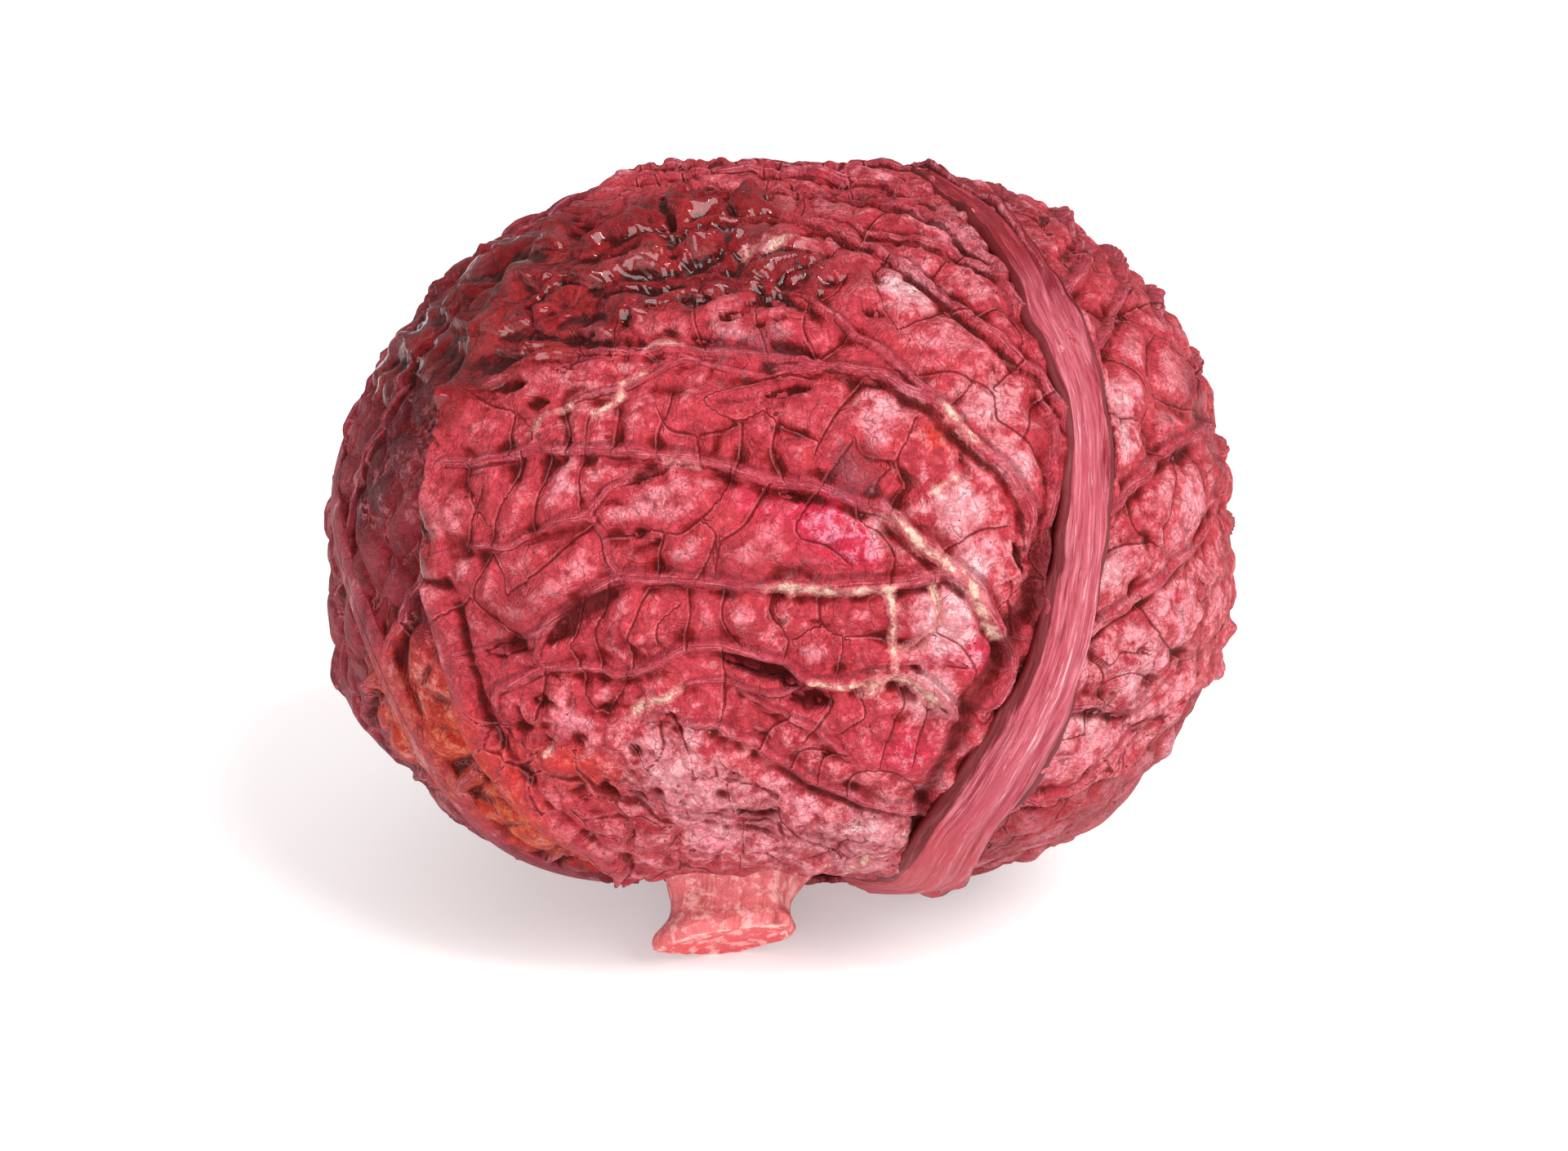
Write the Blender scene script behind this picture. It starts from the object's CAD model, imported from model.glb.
# Blender scene of the cabbage head: the looks of every piece of the frame, the floor, light and camera.
# Shapes are worked out in millimetres round the middle of the head and written in metres.
import math

import bpy
import numpy as np
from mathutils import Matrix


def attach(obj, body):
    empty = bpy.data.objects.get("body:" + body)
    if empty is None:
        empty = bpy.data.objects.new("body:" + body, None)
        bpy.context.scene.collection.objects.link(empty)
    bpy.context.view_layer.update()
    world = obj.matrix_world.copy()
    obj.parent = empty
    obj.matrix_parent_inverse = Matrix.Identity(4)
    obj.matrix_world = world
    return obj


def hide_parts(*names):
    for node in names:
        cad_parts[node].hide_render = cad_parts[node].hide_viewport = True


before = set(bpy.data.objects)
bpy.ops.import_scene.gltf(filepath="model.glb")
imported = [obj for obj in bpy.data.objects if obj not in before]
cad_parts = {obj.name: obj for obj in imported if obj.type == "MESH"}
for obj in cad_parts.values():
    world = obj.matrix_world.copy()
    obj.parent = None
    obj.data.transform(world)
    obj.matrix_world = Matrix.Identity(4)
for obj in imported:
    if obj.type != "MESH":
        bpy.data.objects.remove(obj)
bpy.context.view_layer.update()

# The head: the numbers of the part's source, with the swells nearer to the photo's outline
head = {
    "ball": 83,  # mm: paths, patterns and distances between veins are measured on a ball of this radius
    "centre": (-0.045, -0.042, 75),  # middle of the head above the floor
    "half": (95, 89, 77.5),  # half width, half depth, half height
    "power": 2.3,  # 2 would be an ellipsoid
    "blade": 1.1,  # thickness of a leaf
    "gap": 0.6,  # air between two leaves
    "stalkAim": (-13.5, -51.5),  # where the stalk leaves the head
    "stalkClear": (12.5, 24),  # degrees kept free round it, and how far that reaches
    "ribFoot": 1.25,  # a midrib's side reaches the blade at this many half widths
    "sink": 2.5,  # the smooth skin may lie this far below the floor
    # fuller or flatter places: longitude, latitude, spread in degrees, rise
    "swells": [
        (-13.5, -51.5, 19, -5.5),
        (20, -57, 22, -8),
        (-97, -14, 34, 4.8),
        (-97, 34, 20, -1.2),
        (-122, 60, 20, 2.2),
        (-84, -19, 9, 3.6),
        (100, 42, 24, 1.2),
    ],
}
centre = np.array(head["centre"])
ball = head["ball"]
cameraUp = np.array([0, 0.29, 0.957])


# Hex values are colours as they show in the studio, where the light is this strong and gloss adds this much
studio = {"light": 1.22, "gloss": 0.016}


# Linear colour from sRGB hex: ((c + 0.055) / 1.055) ** 2.4, or c / 12.92 below 0.04. The gloss is taken off
# and the rest divided by the light.
def fromHex(code):
    parts = [int(code[k : k + 2], 16) / 255 for k in (1, 3, 5)]
    linear = [c / 12.92 if c < 0.04045 else ((c + 0.055) / 1.055) ** 2.4 for c in parts]
    return [max(c - studio["gloss"], 0.002) / studio["light"] for c in linear] + [1]


# Direction (sin lon cos lat, -cos lon cos lat, sin lat): longitude 0 faces -Y, 90 faces +X
def aim(lon, lat):
    lon, lat = np.broadcast_arrays(np.radians(lon), np.radians(lat))
    return np.stack([np.sin(lon) * np.cos(lat), -np.cos(lon) * np.cos(lat), np.sin(lat)], -1)


# d / |d|
def unit(d):
    return d / np.maximum(np.linalg.norm(d, axis=-1, keepdims=True), 1e-12)


# Angle between directions: acos(a . b)
def degreesBetween(a, b):
    return np.degrees(np.arccos(np.clip((a * b).sum(-1), -1, 1)))


# Reach of a level so many mm above the floor: (75 - lift) / -z, for directions that look down
def floorReach(d, lift=0.0):
    return np.where(d[..., 2] < -0.05, (head["centre"][2] - lift) / np.maximum(-d[..., 2], 0.05), 1e6)


# 0 below low, 1 above high, 3 t ** 2 - 2 t ** 3 between
def ease(value, low, high):
    t = np.clip((value - low) / (high - low), 0, 1)
    return t * t * (3 - 2 * t)


# Bell curve exp(-((value - middle) / width) ** 2)
def bell(value, width, middle=0.0):
    return np.exp(-(((value - middle) / width) ** 2))


# Sum of strength * bell(angle, spread) over spots (longitude, latitude, spread, strength)
def spots(d, places):
    total = np.zeros(d.shape[:-1])
    for lon, lat, spread, strength in places:
        total += strength * bell(degreesBetween(d, aim(lon, lat)), spread)
    return total


# Outermost skin: (sum |d / half| ** n) ** (-1 / n) plus a bell for each swell, cut by the floor
def skin(d):
    power = head["power"]
    reach = (np.abs(d / np.array(head["half"])) ** power).sum(-1) ** (-1 / power)
    return np.minimum(reach + spots(d, head["swells"]), floorReach(d) + head["sink"])


# a cos(angle) + b sin(angle), for b square to a
def turned(a, b, degrees):
    angle = np.radians(degrees)[..., None]
    return unit(a * np.cos(angle) + b * np.sin(angle))


# Pushes directions off the stalk: new angle = hypot(angle, clear * bell(angle, spread))
def clearOfStalk(d):
    stem = aim(*head["stalkAim"])
    clear, spread = head["stalkClear"]
    off = degreesBetween(d, stem)
    aside = unit(d - stem * (d @ stem)[..., None])
    return turned(stem, aside, np.hypot(off, clear * bell(off, spread)))


# Centripetal Catmull-Rom through points at shares t: a cubic per span, with tangents from the square roots
# of the distances
def splineAt(points, t):
    count = len(points)
    place = np.asarray(t, float) * (count - 1)
    k = np.clip(place.astype(int), 0, count - 2)
    w = (place - k).reshape([-1] + [1] * (points.ndim - 1))
    ends = np.concatenate([2 * points[:1] - points[1:2], points, 2 * points[-1:] - points[-2:-1]])
    x0, x1, x2, x3 = (ends[k + n] for n in range(4))
    gaps = [
        np.maximum(np.linalg.norm(b - a, axis=-1, keepdims=True), 1e-8) ** 0.5
        for a, b in ((x0, x1), (x1, x2), (x2, x3))
    ]
    t1 = ((x1 - x0) / gaps[0] - (x2 - x0) / (gaps[0] + gaps[1]) + (x2 - x1) / gaps[1]) * gaps[1]
    t2 = ((x2 - x1) / gaps[1] - (x3 - x1) / (gaps[1] + gaps[2]) + (x3 - x2) / gaps[2]) * gaps[1]
    return x1 + t1 * w + (3 * (x2 - x1) - 2 * t1 - t2) * w**2 + (2 * (x1 - x2) + t1 + t2) * w**3


# The same spline at shares of its length, which is summed over 200 chords
def splineByLength(points, shares):
    steps = np.linspace(0, 1, 201)
    chords = np.linalg.norm(np.diff(splineAt(points, steps), axis=0), axis=1)
    along = np.concatenate([[0], np.cumsum(chords)])
    return splineAt(points, np.interp(np.asarray(shares) * along[-1], along, steps)), along[-1]


# Repeatable number 0..1 for whole numbers: bits of n mixed by multiply and shift
def scatter(n, seed):
    n = (n.astype(np.uint64) + np.uint64(seed * 7919 + 17)) * np.uint64(0x9E3779B97F4A7C15)
    n = (n ^ (n >> np.uint64(29))) * np.uint64(0xBF58476D1CE4E5B9)
    n = n ^ (n >> np.uint64(32))
    return (n & np.uint64(0xFFFFFF)).astype(float) / 0xFFFFFF


# One number for a lattice cell: x * 73856093 ^ y * 19349663 ^ z * 83492791
def cellNumber(cell):
    x, y, z = (cell[..., k].astype(np.int64) for k in range(3))
    return (x * 73856093) ^ (y * 19349663) ^ (z * 83492791)


# Value noise, about -1..1: lattice numbers blended by 3 f ** 2 - 2 f ** 3. Octaves halve in size and in
# strength, and the result is 1.6 times their mean.
def rough(p, size, seed, octaves=3):
    total = np.zeros(p.shape[:-1])
    strength = 0.0
    for octave in range(octaves):
        q = p / (size / 2**octave) + 31.7 * (octave + 1)
        cell = np.floor(q)
        f = q - cell
        f = f * f * (3 - 2 * f)
        value = np.zeros(p.shape[:-1])
        for corner in np.ndindex(2, 2, 2):
            weight = np.prod(np.where(np.array(corner) == 1, f, 1 - f), axis=-1)
            value += weight * scatter(cellNumber(cell + np.array(corner)), seed + octave)
        total += (value * 2 - 1) / 2**octave
        strength += 1 / 2**octave
    return total / strength * 1.6


# Distances to the nearest and second nearest of one random point per lattice cell, and a random number 0..1
# of the nearest
def cells(p, size, seed):
    q = p / size
    home = np.floor(q)
    first = np.full(p.shape[:-1], 9.0)
    second = first.copy()
    number = np.zeros(p.shape[:-1])
    for step in np.ndindex(3, 3, 3):
        cell = home + np.array(step) - 1
        key = cellNumber(cell)
        spot = cell + np.stack([scatter(key, seed + k) for k in range(3)], -1)
        off = np.linalg.norm(spot - q, axis=-1)
        number = np.where(off < first, scatter(key, seed + 5), number)
        second = np.minimum(np.maximum(off, first), second)
        first = np.minimum(off, first)
    return first * size, second * size, number


# For each point p: distance in mm to a path, share along it, 1 above or -1 below it as seen, and 1 or -1
# for its two hands. The path is cut into chords, and a group of chords looks only at the points within a
# margin of it.
def nearPath(p, path, margin):
    group = 6
    shares = np.linspace(0, 1, max(5, len(path) * 3))
    line = unit(splineByLength(aim(*np.array(path, float).T), shares)[0]) * ball
    best = np.full(len(p), 99.0)
    along = np.zeros(len(p))
    above = np.ones(len(p))
    hand = np.ones(len(p))
    for start in range(0, len(line) - 1, group):
        part = line[start : start + group + 1]
        middle = part.mean(0)
        radius = np.linalg.norm(part - middle, axis=1).max() + margin
        near = np.flatnonzero(((p - middle) ** 2).sum(1) < radius**2)
        if len(near) == 0:
            continue
        way = np.diff(part, axis=0)
        toPoint = p[near][:, None] - part[None, :-1]
        t = np.clip((toPoint * way).sum(-1) / (way * way).sum(-1), 0, 1)
        off = toPoint - t[..., None] * way
        dist = np.linalg.norm(off, axis=-1)
        pick = dist.argmin(1)
        rows = np.arange(len(near))
        found = dist[rows, pick]
        closer = found < best[near]
        where = near[closer]
        best[where] = found[closer]
        along[where] = ((start + pick + t[rows, pick]) / (len(line) - 1))[closer]
        aside = off[rows, pick]
        above[where] = np.where(aside @ cameraUp > 0, 1, -1)[closer]
        left = np.cross(way[pick], p[near])
        hand[where] = np.where((aside * left).sum(-1) > 0, 1, -1)[closer]
    return best, along, above, hand


# The front leaf, read off the photo. Side veins left of the midrib: half width, height in mm, path in
# degrees of longitude and latitude
leftVeins = [
    (1.3, 3.2, [
        (32.6, 2.6), (33.2, 8), (34.2, 13), (35.4, 18), (36.4, 22), (37.5, 25.5), (38.4, 29.2), (38.4, 31.8),
    ]),
    (1.5, 2.8, [
        (40.1, 25.7), (40.3, 30.2), (39, 34.3), (37.5, 36.5), (36.5, 39.3), (34.7, 43.1), (33.4, 46.3),
        (30.2, 51.3), (27.4, 56.6), (22.4, 60.7), (14.7, 64.8), (4.3, 67.8), (-17.1, 68.3), (-34.6, 62.8),
        (-42.8, 56.5), (-46.7, 50), (-48.8, 44.6), (-50.8, 39.6),
    ]),
    (1.0, 1.6, [
        (22.5, 31.9), (20.4, 35.5), (17.7, 38.5), (15, 41.3), (11.9, 44.3), (9.5, 47.1), (5.7, 49.7),
        (-1.1, 51.5), (-9.5, 52.4), (-21.9, 52.5), (-34.8, 47.5), (-41.1, 42.6), (-44.8, 39.3),
        (-48.9, 35.6),
    ]),
    (1.6, 3.0, [
        (32, 13.6), (31.6, 17.5), (29.9, 20.7), (28.3, 23.5), (26.8, 26.1), (24.8, 28.8), (22.5, 31.9),
        (19.3, 33.8), (15.9, 36.4), (10.5, 38), (4.6, 39.4), (-3.6, 40.1), (-12.9, 40.2), (-23.5, 39.1),
        (-31.6, 38.3), (-37.5, 36.9), (-41.7, 34.4), (-44.2, 31.4), (-48.3, 29.3),
    ]),
    (0.9, 1.4, [
        (5.8, 38.4), (-1.2, 37.5), (-9.1, 38), (-15.8, 38.5), (-19.8, 36), (-23.6, 33.7), (-28.6, 32.4),
        (-32.3, 30.3), (-34.4, 28.1), (-35, 26.1), (-33.2, 25.2),
    ]),
    (1.7, 3.2, [
        (25.5, -7.2), (28.3, -3.5), (28.8, -1.3), (28.1, 1.8), (26.3, 5), (24.2, 8.3), (20.5, 11.6),
        (19, 13.5), (15.6, 16.7), (13.9, 19.2), (9.6, 20.9), (4.6, 22.8), (-1.8, 23.8), (-8.3, 25.4),
        (-16.2, 26), (-20, 25.8), (-26, 25.2), (-29.4, 25), (-34.7, 24.4), (-37.6, 23.3), (-41.7, 21.5),
        (-46, 20.4),
    ]),
    (0.8, 1.2, [
        (-15.6, 24.6), (-19.4, 22.9), (-22, 21.4), (-24.1, 19), (-24.8, 17.7), (-23, 15.4), (-21.7, 12.5),
        (-20.5, 11.1),
    ]),
    (0.9, 1.4, [
        (-25, 17.7), (-28, 16.6), (-30.3, 15.2), (-32.7, 13.9), (-34.6, 12.6), (-37.7, 12.2), (-41.5, 11.3),
        (-44.7, 9.7),
    ]),
    (1.5, 2.6, [
        (20.4, 11.4), (18.5, 11.2), (16.1, 10.8), (13.4, 10.4), (4.4, 10.4), (-1.6, 10.6), (-7.7, 11),
        (-14.7, 11.1), (-20.5, 10.6), (-22.6, 9.3), (-24.9, 7.6), (-26.6, 6.3), (-28.7, 4.5), (-29.5, 2),
        (-30, 0.1), (-29.3, -1.3),
    ]),
    (0.8, 1.2, [(-28.6, 4), (-32.5, 2.1), (-36.7, 0.3), (-40.3, -0.8)]),
    (0.7, 1.0, [(13.4, 10.1), (13, 6.8), (13.9, 1.8), (13.9, -0.6)]),
    (1.4, 2.6, [
        (22.7, -8.3), (21, -5.8), (18.1, -2.8), (16.3, -1.4), (13.9, -0.6), (12.1, -1.2), (7.4, -1.7),
        (2.9, -1.3), (0.2, 0.6), (-3.1, 2.1), (-7.6, 2.7), (-11.4, 2.8), (-13.4, 1.7), (-15.9, 0.4),
        (-18.3, -0.8), (-20.1, -1.3), (-22.6, -1), (-25.1, -0.8), (-29.2, -1.1), (-32.1, -2.9),
        (-35.1, -4.7), (-35.7, -7.3), (-34.7, -9.1),
    ]),
    (0.8, 1.3, [(7.9, -2.1), (2.9, -2.5), (-0.2, -3.2), (-4.7, -2.3), (-8.1, -1.4), (-11.7, -1.9)]),
    (0.8, 1.3, [(8.4, -12), (6.4, -10.2), (3.9, -7.8), (0.9, -6.2), (-2.3, -4.6), (-5.2, -3.2)]),
    (1.3, 2.0, [
        (21.2, -23), (15.9, -20.2), (12.7, -19.5), (8.7, -17.9), (4.8, -16), (0.9, -13.3), (-2.8, -10.7),
        (-5.7, -9), (-9, -7.3), (-13.7, -6.8), (-17.5, -6.3),
    ]),
    (1.1, 1.6, [
        (12.1, -32), (6.1, -27.7), (0.3, -24.8), (-6.3, -22.7), (-11.5, -20.6), (-16.4, -18.1),
        (-20.3, -15.8),
    ]),
    (1.6, 2.8, [
        (44.5, 41.3), (46.6, 44.9), (48.6, 48.3), (48.1, 50.7), (46, 53.5), (44.1, 56.1), (40.7, 58.2),
        (35, 61.6), (24, 66), (8, 70),
    ]),
    (1.5, 2.2, [
        (49.8, 45.3), (52, 52.3), (54.2, 61.2), (52.8, 69), (40.4, 76.7), (6.8, 81.5), (-55.9, 78.7),
        (-69.1, 71.7), (-61.8, 61), (-56.3, 52.7), (-57.1, 46.9),
    ]),
]

# Fine veins between them
leftThreads = [
    [(12.8, 36), (8.9, 32.8), (5.5, 28.6), (4.4, 26.7)],
    [(19.4, 30.1), (16.9, 27.6), (15.6, 25.5), (16.4, 21.9), (15.2, 20.7), (14.3, 19.4)],
    [(15.6, 25.5), (13, 25.8), (10.6, 26.7), (10, 28.4)],
    [(-2.5, 32.3), (-0.8, 31.2), (2.4, 29.8), (5, 28.3)],
    [
        (-2.3, 32.5), (-6.2, 31), (-10.2, 32), (-11.2, 33), (-8.6, 35), (-5.4, 36.3), (-1.2, 37.3),
        (4.4, 37.1),
    ],
    [(5.9, 40), (9.4, 42.1), (11.2, 43.4)],
    [(21.3, 35.9), (25.6, 35.5), (28.8, 33.7), (31, 31.8), (30.2, 28.7)],
    [(31.1, 32.1), (35.5, 34.1), (37.8, 35.1)],
    [(20.2, 42.6), (25.6, 44.1), (32.7, 45), (34.4, 44.2)],
    [(15, 53.6), (11, 50.5), (7.2, 49.2)],
    [(30.2, 28.7), (32.7, 25.9), (34.7, 22.2), (34.7, 19.2)],
    [(-35.7, 24.1), (-35.8, 19.6), (-36.7, 16), (-37, 12.6)],
    [(-31.7, 24.5), (-31.9, 19), (-31.5, 15.5)],
    [(-26.3, 25), (-26.4, 21), (-25.9, 18.6)],
    [(-42.8, 21), (-41.1, 17.1), (-38.3, 14.8)],
    [(-39.3, 18.5), (-40.2, 15.4), (-40.9, 11.7)],
    [(-36.8, 11.4), (-38.3, 8.1), (-39, 5.9), (-42.3, 3.3), (-44.3, 1.5)],
    [(-39, 5.9), (-36.7, 4.5), (-34.3, 3.2), (-32.5, 2.1)],
    [(-24.6, 16.3), (-27.1, 13.9), (-29.5, 11.3), (-32.2, 8.9), (-33.8, 7.3), (-34.9, 9.8), (-36.8, 11.4)],
    [
        (-22.5, 15.3), (-20.1, 15.7), (-17.5, 16.7), (-14.8, 16.7), (-13.1, 16.5), (-10.8, 18.5), (-9, 20.3),
        (-7.5, 23), (-7, 24.9),
    ],
    [(-14.7, 16.4), (-15.2, 14.1), (-15, 11.8)],
    [(-10, 18.3), (-8.3, 17.1), (-9.1, 14.4), (-10.2, 11.4)],
    [(-1.8, 23.2), (-3.4, 20.3), (-5.3, 17.6), (-7.8, 15.9), (-8.2, 12.5)],
    [(4.6, 22.2), (2.8, 19.8), (1.7, 17), (5.2, 15.6), (8.2, 13.4)],
    [(9.6, 20.6), (10.4, 18.1), (12.8, 16.6), (14.1, 13.1), (13.4, 10.8)],
    [(-16.2, 9.6), (-17.4, 7.2), (-18.2, 4), (-18, 0.2)],
    [(-11.3, 9.7), (-11.3, 7.1), (-11.7, 3.8), (-11.4, 2.8)],
    [(-12.6, 7.8), (-14.9, 5.5), (-15.1, 3.4)],
    [(-7, 10.1), (-7.6, 7.6), (-7, 5.1), (-5.4, 3.6)],
    [(-21.4, 9.7), (-21.8, 6.7), (-23.2, 2.6), (-22.5, -0.5)],
    [(-24.7, 7.2), (-25.2, 4.4), (-26.2, 1.3), (-25.1, -0.6)],
    [(-19, -0.9), (-19.6, -2.9), (-21.3, -5.8)],
    [(-24.7, -1.4), (-24.2, -4.6), (-22, -6.4)],
    [(-29.3, -1.7), (-30, -5.4), (-30.4, -7.6)],
    [(28.4, 15.9), (24.8, 16), (21.6, 15), (19.3, 13.5)],
    [(7.1, 4.6), (7.3, 2.7), (6.8, -0.5)],
    [(4.7, 10.2), (5, 5.9), (7.1, 4.6), (10, 4.1), (13.1, 3.4)],
    [(-0.4, 10.5), (-1.6, 7.7), (0.2, 5.3), (1.1, 3.7), (3.7, 5.3), (5, 5.9)],
    [(1.1, 3.7), (0.4, 1.6)],
    [(18.5, 10.7), (18.3, 4.7), (14.4, 2.4)],
    [(20.1, 0.2), (23.5, -0.7), (23, -3.5), (21.6, -4.9)],
    [(18.3, 4.7), (21.2, 2.8), (23.5, -0.7)],
    [(5.6, -2.4), (6.5, -3.9), (4.8, -7.6), (2.7, -9.6)],
    [(9.1, -2.6), (10.1, -5.8), (7.7, -8.5)],
    [(-7.4, 2.3), (-7, -4.7), (-7.5, -7.6)],
    [(0.9, -13.3), (2.7, -10.7), (5.7, -11.3)],
    [(-2.8, -10.7), (-1.3, -7.9), (0.9, -6.2)],
    [(8.7, -17.9), (9.4, -14.3), (12.4, -13.7), (15.6, -15.1), (18.2, -19)],
    [(4.8, -16), (5.3, -12.4), (8, -11.5)],
    [(13.9, -0.6), (14.9, -4.9), (13.1, -8.6), (12.4, -13.7)],
    [(18.1, -2.8), (17.6, -8.3), (16.4, -12.7)],
    [(-18.1, 31.3), (-15.9, 29.2), (-12.1, 28.8)],
    [(-16.7, 34.3), (-16.1, 31.5), (-17.4, 28.2), (-16.7, 26.2)],
    [(-23.9, 30.9), (-23.2, 28.5), (-23, 25.7)],
    [(-27.4, 29.7), (-26.9, 26.1)],
    [(-32.3, 30.3), (-30, 27.8), (-29.4, 25.2)],
    [(-48.3, 29.3), (-43.4, 28.3), (-39.1, 28.3), (-35.4, 26.9)],
    [(-39.1, 28.3), (-38.7, 25.4), (-37.4, 23.5)],
    [(-12.1, 28.8), (-7.6, 30.1), (-6.2, 31)],
    [(-12.1, 28.8), (-11, 25.9)],
    [(-5.7, 31.1), (-5.8, 27.6), (-6.2, 25.3)],
    [(-0.8, 31.2), (-1.4, 27.4), (0.2, 23.7)],
    [(10, 28.4), (8.3, 26), (5.5, 23.2)],
    [(15.6, 25.5), (12.8, 23.3), (11.1, 20.8)],
    [(28.8, 33.7), (24.7, 31.6)],
    [(27.4, 56.6), (20.8, 52.7), (19.2, 48.2), (20.2, 42.6)],
    [(33.4, 46.3), (32.2, 49.5), (39.7, 53.4), (46.8, 53.9)],
    [(22.4, 60.7), (32.3, 65.7), (49.1, 68)],
    [(4.3, 67.8), (12, 74.5), (13.2, 80.9)],
    [(-17.1, 68.3), (-28.8, 73.4), (-43.4, 79.9)],
    [(-34.6, 62.8), (-48, 67), (-69.1, 71.7)],
    [(17.1, 60.7), (10.4, 57.1), (0.4, 54), (-1.1, 51.5)],
    [(-9.5, 52.4), (-14.4, 58.8), (-16.5, 67.5)],
    [(-21.9, 52.5), (-28.6, 57.3), (-33.6, 62.2)],
    [(5.7, 49.7), (3.9, 45.1), (5.9, 40)],
    [(-4.6, 51), (-4.8, 45.7), (-2.3, 40.3)],
    [(-16.7, 51.5), (-15.9, 45.7), (-12.7, 40.4)],
    [(37.8, 35.1), (42.2, 39.1), (41.6, 43.2), (34.7, 43.1)],
    [(40.3, 30.2), (36, 28.9), (32.7, 25.9)],
]

# The same right of the midrib
rightVeins = [
    (2.4, 3.4, [(56, 46), (66, 53.5), (74, 59), (90, 64.5), (108, 67.5)]),
    (1.3, 2.2, [(41.2, 14.3), (44.9, 15.9), (49.5, 17.7), (55.8, 19.2), (65.5, 19.7), (85.9, 15.9)]),
    (1.3, 2.2, [
        (38.1, 0.7), (41.5, 2.2), (45.6, 3.5), (48.8, 4.7), (53, 6.1), (57.8, 7), (63.5, 7.1), (68.5, 8.3),
    ]),
    (1.3, 2.2, [(33.7, -20.5), (37.5, -20.1), (41.2, -19.3), (44.2, -17.9), (47.3, -14.6), (52.6, -13.2)]),
    (1.3, 2.2, [
        (35.4, -6.9), (39.1, -7.2), (42.8, -8.3), (45.7, -9.6), (48.9, -9.5), (51.7, -8.1), (54.9, -6.1),
        (58.7, -6),
    ]),
    (1.3, 2.2, [(50.3, 32.6), (56.6, 34.8), (64.2, 37), (75.2, 38.4), (86.1, 38.9)]),
    (1.3, 2.2, [(56.9, 42.6), (66, 43.7), (80.2, 44.8), (90.4, 44.4)]),
]

rightThreads = [
    [(55.8, 19.2), (54.1, 20.1), (53.9, 23.3), (56.9, 25.8), (58.2, 28.8), (56.6, 31.3), (54.6, 33.4)],
    [(45.3, 26.3), (53.3, 24), (54.7, 21.9)],
    [(56, 38.9), (60.9, 39), (61.7, 37.2)],
    [(66.5, 37), (70.7, 32.2), (76.4, 27.6), (90.1, 21.3)],
    [(58.9, 18.1), (56.2, 14.6), (53.8, 12.9), (51.9, 10.4), (52.3, 7.2)],
    [(63.1, 19.1), (65.4, 13.2), (65.5, 9.6), (61.4, 7.3)],
    [(48.1, 16.7), (47, 12.9), (49.4, 10.6), (52.7, 8)],
    [(40.8, 10), (45.1, 11), (49.4, 10.3)],
    [(47.4, 4), (49.9, -1), (54, -4.5), (56.1, -5.8)],
    [(38.6, -0.4), (41.3, -2.5), (42.7, -3.4), (44.6, -2.2), (48.2, -3)],
    [(36.8, -2.2), (38.6, -1.2), (41, -3.3), (41.9, -4.8), (41.7, -6.4), (43.2, -8.1)],
    [(42, -5.4), (44.9, -4.8), (48, -5.6), (50.3, -7.4)],
    [(33, -12.6), (36.1, -11.7), (39.5, -11.7)],
    [(33, -12.6), (34.9, -9.6), (35.4, -6.9)],
    [(39.5, -11.7), (40.1, -9.5), (42.8, -8.3)],
    [(70.7, 32.2), (62.5, 29.9), (59.3, 26.8), (63.9, 24.1), (70.9, 21.4)],
    [(92.1, 23.6), (73.9, 23.8), (70.9, 21.4), (77.5, 18.1)],
    [(64.2, 37), (71.6, 36.1), (79.9, 34.9)],
]

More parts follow.
